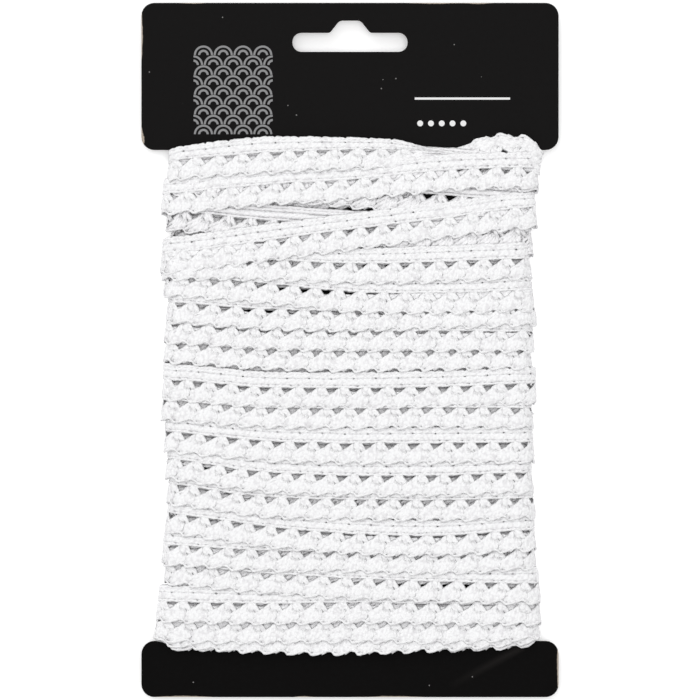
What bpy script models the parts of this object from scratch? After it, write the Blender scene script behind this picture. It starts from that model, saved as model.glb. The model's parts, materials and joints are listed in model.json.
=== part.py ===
"""Lace trim wound on a flat black hang card.

Two pieces, in metres, lying on the back of the winding:
  card          stiff board in the shape of an I, with a hang slot through its head
  lace_winding  the wound lace as one solid sleeve round the card's waist

Frame: X across the card, +Y towards the hang slot, +Z out of the front face.
The origin is under the middle of the card, on the surface it lies on.
"""

import math

import bmesh
import bpy

MM = 0.001

# Card
CARD_W = 116.0 * MM
CARD_L = 193.0 * MM
CARD_T = 1.0 * MM
WAIST_W = 96.5 * MM
HEAD_LOW_Y = 55.6 * MM
FOOT_HIGH_Y = -80.9 * MM
CORNER_R = 3.6 * MM
NOTCH_R = 0.6 * MM
CORNER_STEPS = 6

# Hang slot: a long slot with a rounded rise in the middle of its upper edge
SLOT_W = 32.0 * MM
SLOT_LOW_Y = 82.9 * MM
SLOT_HIGH_Y = 88.2 * MM
SLOT_END_R = 2.5 * MM
RISE_BASE_HALF = 5.6 * MM
RISE_TOP_HALF = 2.9 * MM
RISE_TOP_Y = 91.6 * MM
RISE_BASE_R = 1.2 * MM
RISE_TOP_R = 1.9 * MM

# Heights: the winding rests on z = 0 and the card sits inside it
BACK_THICKNESS = 3.6 * MM
CARD_BACK_Z = BACK_THICKNESS
CARD_FRONT_Z = CARD_BACK_Z + CARD_T
CARD_MID_Z = CARD_BACK_Z + CARD_T / 2.0

# Winding
GAP = 0.3 * MM
RIM_THICKNESS = 0.9 * MM
FLAT_HALF = 46.0 * MM
FLAT_COLUMNS = 19
STATIONS = (-50.0, -25.0, 0.0, 25.0, 50.0)
CROWN_DROP = 0.12
SIDE_TOP_Y = HEAD_LOW_Y - 0.45 * MM
SIDE_LOW_Y = FOOT_HIGH_Y + 0.4 * MM
BACK_TOP_Y = 57.2 * MM
BACK_LOW_Y = -83.0 * MM

# One row for each outer turn, from the head down, all in mm: where its scalloped edge lies
# at the five stations across the front, how far it reaches past the middle on the left and
# on the right, and how high its crest stands over the card's front face.
TURNS = (
    ("turn_01", (48.0, 48.9, 50.2, 50.6, 50.9), 50.9, 53.2, 3.0),
    ("turn_02", (37.5, 40.1, 41.7, 44.2, 45.0), 52.5, 52.0, 3.6),
    ("turn_03", (21.4, 24.5, 27.8, 30.9, 34.2), 52.7, 52.0, 4.2),
    ("turn_04", (18.6, 19.6, 18.3, 18.9, 20.0), 52.3, 50.4, 3.6),
    ("turn_05", (14.6, 13.1, 10.6, 10.1, 11.4), 51.7, 51.0, 3.9),
    ("turn_06", (7.8, 5.8, 5.3, 6.0, 6.9), 50.9, 51.7, 3.8),
    ("turn_07", (1.9, 0.3, -0.3, -0.3, -0.4), 51.6, 51.2, 3.9),
    ("turn_08", (-3.3, -5.1, -5.8, -5.6, -5.0), 51.7, 50.4, 3.6),
    ("turn_09", (-13.6, -15.8, -16.1, -15.7, -14.7), 52.3, 52.0, 4.2),
    ("turn_10", (-19.5, -21.4, -21.7, -21.4, -21.7), 52.5, 50.9, 3.7),
    ("turn_11", (-28.1, -30.6, -31.4, -31.3, -31.1), 51.8, 51.3, 4.0),
    ("turn_12", (-35.6, -39.2, -40.3, -40.3, -39.5), 51.2, 50.9, 3.8),
    ("turn_13", (-42.5, -46.1, -47.0, -47.3, -46.7), 50.8, 51.4, 3.8),
    ("turn_14", (-50.6, -54.2, -56.4, -57.0, -55.3), 51.3, 51.7, 4.0),
    ("turn_15", (-59.5, -61.2, -61.4, -62.0, -60.6), 52.3, 51.6, 3.7),
    ("turn_16", (-65.1, -67.3, -68.9, -69.8, -69.6), 51.5, 53.0, 3.9),
    ("turn_17", (-72.6, -75.4, -75.6, -75.9, -75.0), 53.6, 53.1, 3.7),
    ("turn_18", (-77.8, -80.9, -81.2, -80.6, -78.6), 54.0, 52.6, 3.2),
)

# Top and bottom edges of the winding on the front, x and y in mm
TOP_EDGE = (
    (-50.0, 55.6),
    (-44.5, 57.3),
    (-28.0, 58.4),
    (0.0, 58.8),
    (14.0, 57.9),
    (25.0, 56.9),
    (33.4, 58.4),
    (40.0, 60.5),
    (48.6, 60.3),
    (52.8, 58.4),
)
LOW_EDGE = (
    (-51.4, -81.6),
    (-42.0, -83.9),
    (-20.0, -84.3),
    (8.0, -84.6),
    (15.0, -83.4),
    (34.8, -82.3),
    (50.0, -81.0),
)

# Where the rows of points lie between one scalloped edge and the next, as a share of the
# way down, and how far each row sits below the crest, in mm. The last row is the next edge.
STEP_ROWS = (
    ("foot_of_step", 0.09, 0.95),
    ("rising", 0.50, 0.45),
    ("edge", 1.00, 0.0),
)
FIRST_ROWS = (
    ("above_fold", 0.16, 1.1),
    ("fold", 0.38, 0.5),
    ("below_fold", 0.66, 0.35),
    ("edge", 1.00, 0.0),
)
BACK_STEP_DEPTH = 0.5 * MM
BACK_ROUNDED_ROWS = ("foot_of_step", "above_fold")

# The turn at the top right is doubled over on itself: a low ridge along this line
FOLD_START = (24.0, 55.2)
FOLD_END = (52.0, 57.6)
FOLD_HALF_WIDTH = 3.2
FOLD_HEIGHT = 1.2 * MM

# Points round the card's edge: angle of the outer point, then where the tunnel's wall is,
# as x past FLAT_HALF and z from the middle of the board, in mm
BEND_POINTS = (
    ("front_shoulder", 66.0, 1.3, 0.8),
    ("front_corner", 42.0, 2.3, 0.8),
    ("front_edge", 22.0, 2.75, 0.8),
    ("front_middle", 7.0, 2.75, 0.3),
    ("back_middle", -7.0, 2.75, -0.3),
    ("back_edge", -22.0, 2.75, -0.8),
    ("back_corner", -42.0, 2.3, -0.8),
    ("back_shoulder", -66.0, 1.3, -0.8),
)
RIM_ON_CARD = ("front_shoulder", "front_corner")

LACE_COLOUR = (0.87, 0.87, 0.88, 1.0)
CARD_COLOUR = (0.012, 0.011, 0.011, 1.0)


def clear_scene():
    """Remove everything from the scene."""
    for thing in list(bpy.data.objects):
        bpy.data.objects.remove(thing, do_unlink=True)


def make_collection(name):
    """Make a collection and link it to the scene."""
    group = bpy.data.collections.new(name)
    bpy.context.scene.collection.children.link(group)
    return group


def make_material(name, colour, roughness):
    """Make a Principled material."""
    material = bpy.data.materials.new(name)
    material.use_nodes = True
    shader = material.node_tree.nodes["Principled BSDF"]
    shader.inputs["Base Color"].default_value = colour
    shader.inputs["Roughness"].default_value = roughness
    shader.inputs["Metallic"].default_value = 0.0
    return material


def rounded_outline(corners):
    """Points round a closed outline whose corners are (x, y, radius), each cut to an arc."""
    points = []
    for index, (x, y, radius) in enumerate(corners):
        before = corners[index - 1]
        after = corners[(index + 1) % len(corners)]
        to_before = math.atan2(before[1] - y, before[0] - x)
        to_after = math.atan2(after[1] - y, after[0] - x)
        turn = (to_after - to_before + math.pi) % (2.0 * math.pi) - math.pi
        reach = radius / math.tan(abs(turn) / 2.0)
        middle = to_before + turn / 2.0
        centre_off = radius / math.sin(abs(turn) / 2.0)
        centre_x = x + centre_off * math.cos(middle)
        centre_y = y + centre_off * math.sin(middle)
        first = math.atan2(
            y + reach * math.sin(to_before) - centre_y,
            x + reach * math.cos(to_before) - centre_x,
        )
        last = math.atan2(
            y + reach * math.sin(to_after) - centre_y,
            x + reach * math.cos(to_after) - centre_x,
        )
        sweep = (last - first + math.pi) % (2.0 * math.pi) - math.pi
        for step in range(CORNER_STEPS + 1):
            angle = first + sweep * step / CORNER_STEPS
            points.append((centre_x + radius * math.cos(angle), centre_y + radius * math.sin(angle)))
    return points


def card_corners():
    """Corners of the I shape, going round from the head's top left."""
    half = CARD_W / 2.0
    waist = WAIST_W / 2.0
    top = CARD_L / 2.0
    return (
        (-half, top, CORNER_R),
        (-half, HEAD_LOW_Y, CORNER_R),
        (-waist, HEAD_LOW_Y, NOTCH_R),
        (-waist, FOOT_HIGH_Y, NOTCH_R),
        (-half, FOOT_HIGH_Y, CORNER_R),
        (-half, -top, CORNER_R),
        (half, -top, CORNER_R),
        (half, FOOT_HIGH_Y, CORNER_R),
        (waist, FOOT_HIGH_Y, NOTCH_R),
        (waist, HEAD_LOW_Y, NOTCH_R),
        (half, HEAD_LOW_Y, CORNER_R),
        (half, top, CORNER_R),
    )


def slot_corners():
    """Corners of the hang slot, going round from its top left."""
    half = SLOT_W / 2.0
    return (
        (-half, SLOT_HIGH_Y, SLOT_END_R),
        (-half, SLOT_LOW_Y, SLOT_END_R),
        (half, SLOT_LOW_Y, SLOT_END_R),
        (half, SLOT_HIGH_Y, SLOT_END_R),
        (RISE_BASE_HALF, SLOT_HIGH_Y, RISE_BASE_R),
        (RISE_TOP_HALF, RISE_TOP_Y, RISE_TOP_R),
        (-RISE_TOP_HALF, RISE_TOP_Y, RISE_TOP_R),
        (-RISE_BASE_HALF, SLOT_HIGH_Y, RISE_BASE_R),
    )


def add_outline(curve, points):
    """Add one closed outline to a flat curve."""
    spline = curve.splines.new("POLY")
    spline.points.add(len(points) - 1)
    for target, (x, y) in zip(spline.points, points):
        target.co = (x, y, 0.0, 1.0)
    spline.use_cyclic_u = True


def build_card(group):
    """The board, cut out with its hang slot."""
    curve = bpy.data.curves.new("card_outline", "CURVE")
    curve.dimensions = "2D"
    curve.fill_mode = "BOTH"
    curve.extrude = CARD_T / 2.0
    add_outline(curve, rounded_outline(card_corners()))
    add_outline(curve, rounded_outline(slot_corners()))
    outline = bpy.data.objects.new("card_outline", curve)
    group.objects.link(outline)
    bpy.context.view_layer.update()
    depsgraph = bpy.context.evaluated_depsgraph_get()
    mesh = bpy.data.meshes.new_from_object(outline.evaluated_get(depsgraph))
    bpy.data.objects.remove(outline, do_unlink=True)
    work = bmesh.new()
    work.from_mesh(mesh)
    bmesh.ops.remove_doubles(work, verts=work.verts, dist=0.00001)
    bmesh.ops.translate(work, verts=work.verts, vec=(0.0, 0.0, CARD_MID_Z))
    bmesh.ops.recalc_face_normals(work, faces=work.faces)
    work.to_mesh(mesh)
    work.free()
    mesh.materials.clear()
    mesh.materials.append(make_material("card", CARD_COLOUR, 0.5))
    card = bpy.data.objects.new("card", mesh)
    group.objects.link(card)


def along(table, x):
    """Height read off a table of (x, y) points at x, with straight lines between them."""
    if x <= table[0][0]:
        return table[0][1]
    for (x0, y0), (x1, y1) in zip(table, table[1:]):
        if x <= x1:
            return y0 + (y1 - y0) * (x - x0) / (x1 - x0)
    return table[-1][1]


def smooth_along(heights, x):
    """Height of a turn's edge at x mm, rounded off between the stations."""
    for index in range(len(STATIONS) - 1):
        x0 = STATIONS[index]
        x1 = STATIONS[index + 1]
        if x <= x1 or index == len(STATIONS) - 2:
            share = min(max((x - x0) / (x1 - x0), 0.0), 1.0)
            before = heights[max(index - 1, 0)]
            after = heights[min(index + 2, len(heights) - 1)]
            slope0 = (heights[index + 1] - before) / 2.0
            slope1 = (after - heights[index]) / 2.0
            rest = 1.0 - share
            ends = heights[index] * rest * rest * (1.0 + 2.0 * share)
            ends += heights[index + 1] * share * share * (3.0 - 2.0 * share)
            return ends + slope0 * share * rest * rest - slope1 * share * share * rest
    return heights[-1]


def fold_lift(x, y):
    """How much the doubled turn raises the front at (x, y) in mm."""
    run_x = FOLD_END[0] - FOLD_START[0]
    run_y = FOLD_END[1] - FOLD_START[1]
    length = math.hypot(run_x, run_y)
    share = ((x - FOLD_START[0]) * run_x + (y - FOLD_START[1]) * run_y) / (length * length)
    off = ((x - FOLD_START[0]) * run_y - (y - FOLD_START[1]) * run_x) / length
    if share <= 0.0:
        return 0.0
    lead_in = min(share / 0.25, 1.0)
    return FOLD_HEIGHT * lead_in * math.exp(-((off / FOLD_HALF_WIDTH) ** 2))


class Column:
    """One line of points from the head to the foot, at a fixed place round the card."""

    def __init__(self, face, side, x, angle, tunnel_x, tunnel_z, name):
        self.face = face
        self.side = side
        self.x = x
        self.angle = angle
        self.tunnel_x = tunnel_x
        self.tunnel_z = tunnel_z
        self.name = name

    def top(self):
        """Where the winding ends at the head."""
        if self.face == "front":
            return along(TOP_EDGE, self.x / MM) * MM
        if self.face == "back":
            return BACK_TOP_Y
        if self.name == "front_shoulder":
            return max(along(TOP_EDGE, self.side * 49.4) * MM, SIDE_TOP_Y)
        if self.name == "front_corner" and self.side > 0:
            return along(TOP_EDGE, 52.0) * MM
        if self.name == "back_shoulder":
            return HEAD_LOW_Y + 0.8 * MM
        return SIDE_TOP_Y

    def low(self):
        """Where the winding ends at the foot."""
        if self.face == "front":
            return along(LOW_EDGE, self.x / MM) * MM
        if self.face == "back":
            return BACK_LOW_Y
        if self.name == "front_shoulder":
            return along(LOW_EDGE, self.side * 49.0) * MM
        if self.name == "back_shoulder":
            return FOOT_HIGH_Y - 0.8 * MM
        return SIDE_LOW_Y

    def edge(self, heights):
        """Where a turn's scalloped edge crosses this column."""
        if self.face == "front":
            return smooth_along(heights, self.x / MM) * MM
        if self.face == "back":
            share = (self.x / MM - STATIONS[0]) / (STATIONS[-1] - STATIONS[0])
            return (heights[0] + (heights[-1] - heights[0]) * share) * MM
        end = heights[-1] if self.side > 0 else heights[0]
        return end * MM


def make_columns():
    """All the columns, going round the card from the front's left."""
    columns = []
    across = [-FLAT_HALF + 2.0 * FLAT_HALF * n / (FLAT_COLUMNS - 1) for n in range(FLAT_COLUMNS)]
    wall = CARD_T / 2.0 + GAP
    for x in across:
        columns.append(Column("front", 0, x, 90.0, x, wall, "front"))
    for name, angle, past, height in BEND_POINTS:
        columns.append(Column("bend", 1, FLAT_HALF, angle, FLAT_HALF + past * MM, height * MM, name))
    for x in reversed(across):
        columns.append(Column("back", 0, x, -90.0, x, -wall, "back"))
    for name, angle, past, height in reversed(BEND_POINTS):
        columns.append(Column("bend", -1, -FLAT_HALF, angle, -FLAT_HALF - past * MM, height * MM, name))
    return columns


def make_rows():
    """All the rows of the outside: (row name, turn above, turn below, share, depth)."""
    rows = [("rim", None, 0, 0.0, 0.0)]
    for name, share, depth in FIRST_ROWS:
        rows.append((name, None, 0, share, depth))
    for index in range(len(TURNS) - 1):
        for name, share, depth in STEP_ROWS:
            rows.append((name, index, index + 1, share, depth))
    last = len(TURNS) - 1
    rows.append(("foot_of_step", last, None, 0.30, 0.9))
    rows.append(("rim", last, None, 1.0, 0.0))
    return rows


def outer_point(column, row):
    """The point on the outside of the winding where a row crosses a column."""
    name, above, below, share, depth = row
    high = column.top() if above is None else column.edge(TURNS[above][1])
    low = column.low() if below is None else column.edge(TURNS[below][1])
    y = high + (low - high) * share
    turn = TURNS[above if below is None else below]
    before = TURNS[above] if above is not None else turn
    reach_left = (before[2] + (turn[2] - before[2]) * share) * MM
    reach_right = (before[3] + (turn[3] - before[3]) * share) * MM
    crest = (before[4] + (turn[4] - before[4]) * share - depth) * MM
    thickness_back = BACK_THICKNESS
    if name in BACK_ROUNDED_ROWS:
        thickness_back = BACK_THICKNESS - BACK_STEP_DEPTH
    if name == "rim":
        crest = GAP + RIM_THICKNESS
        thickness_back = GAP + RIM_THICKNESS
        reach_left = min(reach_left, 51.4 * MM)
    crown = 1.0 - CROWN_DROP * (column.x / FLAT_HALF) ** 2
    over_x = column.x + column.side * 4.5 * MM * math.cos(math.radians(column.angle))
    front = CARD_T / 2.0 + crest * crown
    if column.face != "back":
        front += fold_lift(over_x / MM, y / MM)
    back = CARD_T / 2.0 + thickness_back
    if column.face == "front":
        return (column.x, y, CARD_MID_Z + front)
    if column.face == "back":
        return (column.x, y, CARD_MID_Z - back)
    reach = reach_right if column.side > 0 else reach_left
    angle = math.radians(column.angle)
    x = column.side * (FLAT_HALF + (reach - FLAT_HALF) * math.cos(angle))
    z = CARD_MID_Z + (front if angle > 0.0 else back) * math.sin(angle)
    return (x, y, z)


def build_winding(group):
    """The wound lace: a sleeve lofted row by row, with a tunnel where the card runs."""
    columns = make_columns()
    rows = make_rows()
    work = bmesh.new()
    rings = []
    for row in rows:
        rings.append([work.verts.new(outer_point(column, row)) for column in columns])
    for end in ("low", "top"):
        ring = []
        for column in columns:
            y = column.low() if end == "low" else column.top()
            ring.append(work.verts.new((column.tunnel_x, y, CARD_MID_Z + column.tunnel_z)))
        rings.append(ring)
    count = len(columns)
    for upper, lower in zip(rings, rings[1:] + rings[:1]):
        for n in range(count):
            after = (n + 1) % count
            work.faces.new((upper[n], lower[n], lower[after], upper[after]))
    bmesh.ops.triangulate(work, faces=work.faces)
    bmesh.ops.recalc_face_normals(work, faces=work.faces)
    for face in work.faces:
        face.smooth = True
    mesh = bpy.data.meshes.new("lace_winding")
    work.to_mesh(mesh)
    work.free()
    mesh.materials.append(make_material("lace", LACE_COLOUR, 0.9))
    group.objects.link(bpy.data.objects.new("lace_winding", mesh))


def main():
    """Build both pieces."""
    clear_scene()
    group = make_collection("lace_card")
    build_card(group)
    build_winding(group)


main()
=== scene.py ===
"""Looks of the lace trim wound on a flat hang card.

The CAD gives the card and a plain sleeve where the lace is wound. This script keeps the card,
gives it a printed board's finish, and replaces the sleeve with the lace itself: one repeat of
the edging is made from its yarns, repeated along a straight strip by Geometry Nodes, and bent
round the card along the route of each turn.

Frame: X across the card, +Y towards the hang slot, +Z out of the front face, in metres.
"""

import json
import logging
import math
from dataclasses import dataclass, field
from enum import Enum
from typing import Any, Callable, Iterable, Sequence

import bmesh
import bpy
import numpy as np
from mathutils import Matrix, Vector

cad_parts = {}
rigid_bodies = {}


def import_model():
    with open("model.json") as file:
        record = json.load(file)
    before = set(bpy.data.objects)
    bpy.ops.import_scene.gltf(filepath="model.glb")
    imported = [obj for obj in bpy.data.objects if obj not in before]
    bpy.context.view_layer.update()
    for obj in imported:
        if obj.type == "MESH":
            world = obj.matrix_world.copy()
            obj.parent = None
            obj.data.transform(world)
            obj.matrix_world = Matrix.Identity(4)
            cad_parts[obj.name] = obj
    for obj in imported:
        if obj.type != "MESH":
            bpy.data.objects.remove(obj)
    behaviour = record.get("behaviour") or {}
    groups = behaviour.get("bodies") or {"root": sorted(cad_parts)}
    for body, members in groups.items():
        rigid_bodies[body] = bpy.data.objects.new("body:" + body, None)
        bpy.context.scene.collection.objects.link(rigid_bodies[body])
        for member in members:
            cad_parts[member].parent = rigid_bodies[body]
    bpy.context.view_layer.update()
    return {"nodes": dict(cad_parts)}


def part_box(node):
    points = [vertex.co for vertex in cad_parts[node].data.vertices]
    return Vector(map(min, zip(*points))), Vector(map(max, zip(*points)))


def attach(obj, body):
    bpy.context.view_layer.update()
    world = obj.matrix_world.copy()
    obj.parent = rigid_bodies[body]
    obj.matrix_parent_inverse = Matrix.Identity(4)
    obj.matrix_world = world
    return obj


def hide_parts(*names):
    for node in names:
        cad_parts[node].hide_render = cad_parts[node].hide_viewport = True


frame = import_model()

logging.basicConfig(level=logging.INFO, format="%(name)s: %(message)s")
log = logging.getLogger("lace_card")

MM = 0.001

# Kinds of node that the materials and the strip use again and again
MATH = "ShaderNodeMath"
VECTOR = "ShaderNodeVectorMath"
MIX = "ShaderNodeMix"
NOISE = "ShaderNodeTexNoise"
VORONOI = "ShaderNodeTexVoronoi"
SPLIT = "ShaderNodeSeparateXYZ"
COMBINE = "ShaderNodeCombineXYZ"

# A Mix node has its own inputs and output for colours, and others for vectors
FIRST_COLOUR = 6
SECOND_COLOUR = 7
MIXED_COLOUR = 2
FIRST_VECTOR = 4
SECOND_VECTOR = 5
MIXED_VECTOR = 1


# ---------------------------------------------------------------- colours and nodes


def linear(hex_colour: str) -> tuple[float, float, float, float]:
    """Turn an sRGB hex colour into the linear colour that shaders use.

    Args:
        hex_colour: Six hex digits, such as "f4f4f5".

    Returns:
        Linear red, green, blue and an alpha of one.
    """
    channels = []
    for start in (0, 2, 4):
        value = int(hex_colour[start : start + 2], 16) / 255.0
        channels.append(value / 12.92 if value <= 0.04045 else ((value + 0.055) / 1.055) ** 2.4)
    return (channels[0], channels[1], channels[2], 1.0)


def add_node(
    tree: bpy.types.NodeTree,
    kind: str,
    *inputs: Any,
    named: dict[Any, Any] | None = None,
    out: int | str = 0,
    **settings: Any,
) -> bpy.types.NodeSocket | None:
    """Add one node with its settings, and fill or link its inputs.

    Args:
        tree: The node tree to add to.
        kind: The node's type name.
        inputs: Values or output sockets for its first inputs, in order.
        named: More of them, by the input's name or number.
        out: Name or number of the output to give back.
        settings: Properties of the node to set.

    Returns:
        That output socket, or None for a node that has no output.
    """
    node = tree.nodes.new(kind)
    for name, value in settings.items():
        setattr(node, name, value)
    for name, value in {**dict(enumerate(inputs)), **(named or {})}.items():
        if isinstance(value, bpy.types.NodeSocket):
            tree.links.new(value, node.inputs[name])
        else:
            node.inputs[name].default_value = value
    return node.outputs[out] if node.outputs else None


def new_material(name: str) -> tuple[bpy.types.Material, bpy.types.NodeTree, bpy.types.Node]:
    """Make a material that has only its shader.

    Args:
        name: The material's name.

    Returns:
        The material, its node tree and its Principled node.
    """
    material = bpy.data.materials.new(name)
    material.use_nodes = True
    tree = material.node_tree
    tree.nodes.clear()
    shader = add_node(tree, "ShaderNodeBsdfPrincipled")
    add_node(tree, "ShaderNodeOutputMaterial", shader)
    return material, tree, shader.node


# ---------------------------------------------------------------- finishes


@dataclass(frozen=True)
class YarnFinish:
    """Soft-spun cotton yarn, bleached white and worked into loops.

    Its twisted plies give the eye a fine slanting hatch, from bumps and from painted shade down
    between the plies. Its loops give a grain of soft bumps with painted shade in the faint hollows
    between them, and its loose fibres take all gloss away.

    Attributes:
        name: The material's name.
        painted_ply_shade: Painted shade down between the plies and where the fibres lie low, as sRGB
            hex.
        painted_loop_shade: Painted shade down between the loops, as sRGB hex.
        roughness: Surface roughness.
        colour: Its colour where the light falls on it, as sRGB hex.
        gloss: The shader's specular level.
        ply_length: Length in which the plies go once round the yarn, in metres.
        plies: How many plies the yarn has.
        ply_round: How full a ply is: less than 1 makes its top broad and its edges steep.
        loop: Width of a stitch's loop, in metres.
        loop_depth: Depth between two loops, as a share of the relief.
        gap_start: How far from a loop's middle the painted loop shade begins, as a share of its width.
        gap_fade: How steeply that painted shade comes in from there.
        fibre: Distance between fibres that stand out, in metres.
        fibre_height: How far they stand out, as a share of the relief.
        fibre_shade: Share of the painted ply shade that follows the fibres. The plies give the rest.
        relief: Depth of the twist, in metres.
    """

    name: str
    # Painted shade: darker colours that stand in for the shade down between the plies and between the
    # loops
    painted_ply_shade: str
    # Painted shade between the loops
    painted_loop_shade: str
    roughness: float
    colour: str = "fafafb"
    gloss: float = 0.2
    ply_length: float = 1.6 * MM
    plies: int = 3
    ply_round: float = 0.6
    # A real stitch's loops are about 0.5 mm wide. They are drawn wider, so that they show.
    loop: float = 0.9 * MM
    loop_depth: float = 1.9
    gap_start: float = 0.5
    gap_fade: float = 3.0
    # Cotton fibres are about 0.02 mm thick. They are drawn far coarser, so that they show.
    fibre: float = 0.6667 * MM
    fibre_height: float = 3.0
    fibre_shade: float = 0.4
    relief: float = 0.09 * MM

    def ply(self, tree: bpy.types.NodeTree) -> bpy.types.NodeSocket:
        """The plies that wind round the yarn.

        Args:
            tree: The yarn's node tree.

        Returns:
            A socket that goes from 0 between plies to 1 on top of one.
        """
        along_yarn = add_node(tree, SPLIT, add_node(tree, "ShaderNodeUVMap", uv_map="yarn"))
        round_yarn = along_yarn.node.outputs[1]
        along = add_node(tree, MATH, along_yarn, self.ply_length, operation="DIVIDE")
        around = add_node(tree, MATH, round_yarn, float(self.plies), operation="MULTIPLY")
        turns = add_node(tree, MATH, along, around, operation="ADD")
        angle = add_node(tree, MATH, turns, 2.0 * math.pi, operation="MULTIPLY")
        wave = add_node(tree, MATH, angle, operation="SINE")
        return add_node(tree, MATH, wave, 0.5, 0.5, operation="MULTIPLY_ADD")

    def between_loops(
        self, tree: bpy.types.NodeTree, loops: bpy.types.NodeSocket
    ) -> bpy.types.NodeSocket:
        """Where the painted shade between the loops lies.

        Args:
            tree: The yarn's node tree.
            loops: Distance from the middle of the nearest loop.

        Returns:
            A socket that goes from 0 on a loop to 1 where the shade between loops is painted.
        """
        past = add_node(tree, MATH, loops, self.gap_start, operation="SUBTRACT")
        steep = add_node(tree, MATH, past, self.gap_fade, operation="MULTIPLY")
        positive = add_node(tree, MATH, steep, 0.0, operation="MAXIMUM")
        return add_node(tree, MATH, positive, 1.0, operation="MINIMUM")

    def material(self) -> bpy.types.Material:
        """Make the yarn's material.

        Returns:
            The material.
        """
        material, tree, shader = new_material(self.name)
        ply = self.ply(tree)
        place = add_node(tree, "ShaderNodeTexCoord", out="Object")
        fibres = {"Vector": place, "Scale": 1.0 / self.fibre, "Detail": 3.0, "Roughness": 0.7}
        fibre = add_node(tree, NOISE, named=fibres)
        cells = {"Vector": place, "Scale": 1.0 / self.loop}
        loops = add_node(tree, VORONOI, named=cells, out="Distance", feature="F1")
        full_ply = add_node(tree, MATH, ply, self.ply_round, operation="POWER")
        twist = add_node(tree, MATH, fibre, self.fibre_height, full_ply, operation="MULTIPLY_ADD")
        height = add_node(tree, MATH, loops, -self.loop_depth, twist, operation="MULTIPLY_ADD")
        lit = add_node(tree, MATH, ply, 1.0 - self.fibre_shade, operation="MULTIPLY")
        shade = add_node(tree, MATH, fibre, self.fibre_shade, lit, operation="MULTIPLY_ADD")
        # Painted shade: the colour darkens where the plies and fibres lie low, and again between the
        # loops
        painted_ply_shade, top, painted_loop_shade = linear(self.painted_ply_shade), linear(self.colour), linear(self.painted_loop_shade)
        plies = {"Factor": shade, FIRST_COLOUR: painted_ply_shade, SECOND_COLOUR: top}
        twisted = add_node(tree, MIX, named=plies, out=MIXED_COLOUR, data_type="RGBA")
        # Where the shade between the loops is painted
        in_loop_shade = self.between_loops(tree, loops)
        looped = {"Factor": in_loop_shade, FIRST_COLOUR: twisted, SECOND_COLOUR: painted_loop_shade}
        colour = add_node(tree, MIX, named=looped, out=MIXED_COLOUR, data_type="RGBA")
        relief = {"Height": height, "Distance": self.relief, "Strength": 0.8}
        bump = add_node(tree, "ShaderNodeBump", named=relief)
        tree.links.new(colour, shader.inputs["Base Color"])
        tree.links.new(bump, shader.inputs["Normal"])
        shader.inputs["Roughness"].default_value = self.roughness
        shader.inputs["Specular IOR Level"].default_value = self.gloss
        return material


@dataclass(frozen=True)
class Stretch:
    """The numbers from a low one to a high one.

    Attributes:
        low: The low one.
        high: The high one.
    """

    low: float
    high: float

    @property
    def middle(self) -> float:
        """The number halfway between the two."""
        return (self.low + self.high) / 2.0

    @property
    def half(self) -> float:
        """Half the distance between them, the reach of a comparison with the middle."""
        return (self.high - self.low) / 2.0


@dataclass(frozen=True)
class FanPrint:
    """Grey ink in a plain block of small fans, on the left of the card's head.

    The fans give the eye a mid-grey panel of fine arcs on the black.

    Attributes:
        colour: Its colour, as sRGB hex.
        left: Where the block begins across the card, in metres.
        bottom: Height of its lower edge, in metres.
        width: Width of a fan, in metres.
        height: Height of a row, in metres.
        step: How far each row is moved on from the one below, as a share of a fan's width.
        across: The fans that the block is wide.
        up: The rows that it is high.
        outer_arc: A fan's outer arc, as shares of half its width.
        inner_arc: Its inner arc.
    """

    colour: str = "8b8b8c"
    left: float = -43.5 * MM
    bottom: float = 60.0 * MM
    width: float = 5.5 * MM
    height: float = 2.75 * MM
    step: float = 0.5
    across: Stretch = Stretch(0.0, 4.0)
    up: Stretch = Stretch(0.0, 9.0)
    outer_arc: Stretch = Stretch(0.76, 0.96)
    inner_arc: Stretch = Stretch(0.32, 0.54)

    def mark(
        self, tree: bpy.types.NodeTree, x: bpy.types.NodeSocket, y: bpy.types.NodeSocket
    ) -> bpy.types.NodeSocket:
        """Where the fans are printed.

        Args:
            tree: The board's node tree.
            x: Place across the card.
            y: Place along it.

        Returns:
            A socket that is 1 on the print and 0 elsewhere.
        """
        from_left = add_node(tree, MATH, x, self.left, operation="SUBTRACT")
        from_bottom = add_node(tree, MATH, y, self.bottom, operation="SUBTRACT")
        across = add_node(tree, MATH, from_left, self.width, operation="DIVIDE")
        up = add_node(tree, MATH, from_bottom, self.height, operation="DIVIDE")
        row = add_node(tree, MATH, up, operation="FLOOR")
        moved_on = add_node(tree, MATH, row, self.step, across, operation="MULTIPLY_ADD")
        in_fan = add_node(tree, MATH, moved_on, operation="FRACT")
        off_middle = add_node(tree, MATH, in_fan, 0.5, operation="SUBTRACT")
        side = add_node(tree, MATH, off_middle, 2.0, operation="MULTIPLY")
        rise = add_node(tree, MATH, up, row, operation="SUBTRACT")
        rise_squared = add_node(tree, MATH, rise, rise, operation="MULTIPLY")
        squared = add_node(tree, MATH, side, side, rise_squared, operation="MULTIPLY_ADD")
        radius = add_node(tree, MATH, squared, operation="SQRT")
        outer, inner, columns, rows = (
            add_node(tree, MATH, value, stretch.middle, stretch.half, operation="COMPARE")
            for value, stretch in (
                (radius, self.outer_arc),
                (radius, self.inner_arc),
                (across, self.across),
                (up, self.up),
            )
        )
        arcs = add_node(tree, MATH, outer, inner, operation="MAXIMUM")
        block = add_node(tree, MATH, columns, rows, operation="MULTIPLY")
        return add_node(tree, MATH, arcs, block, operation="MULTIPLY")


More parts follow.
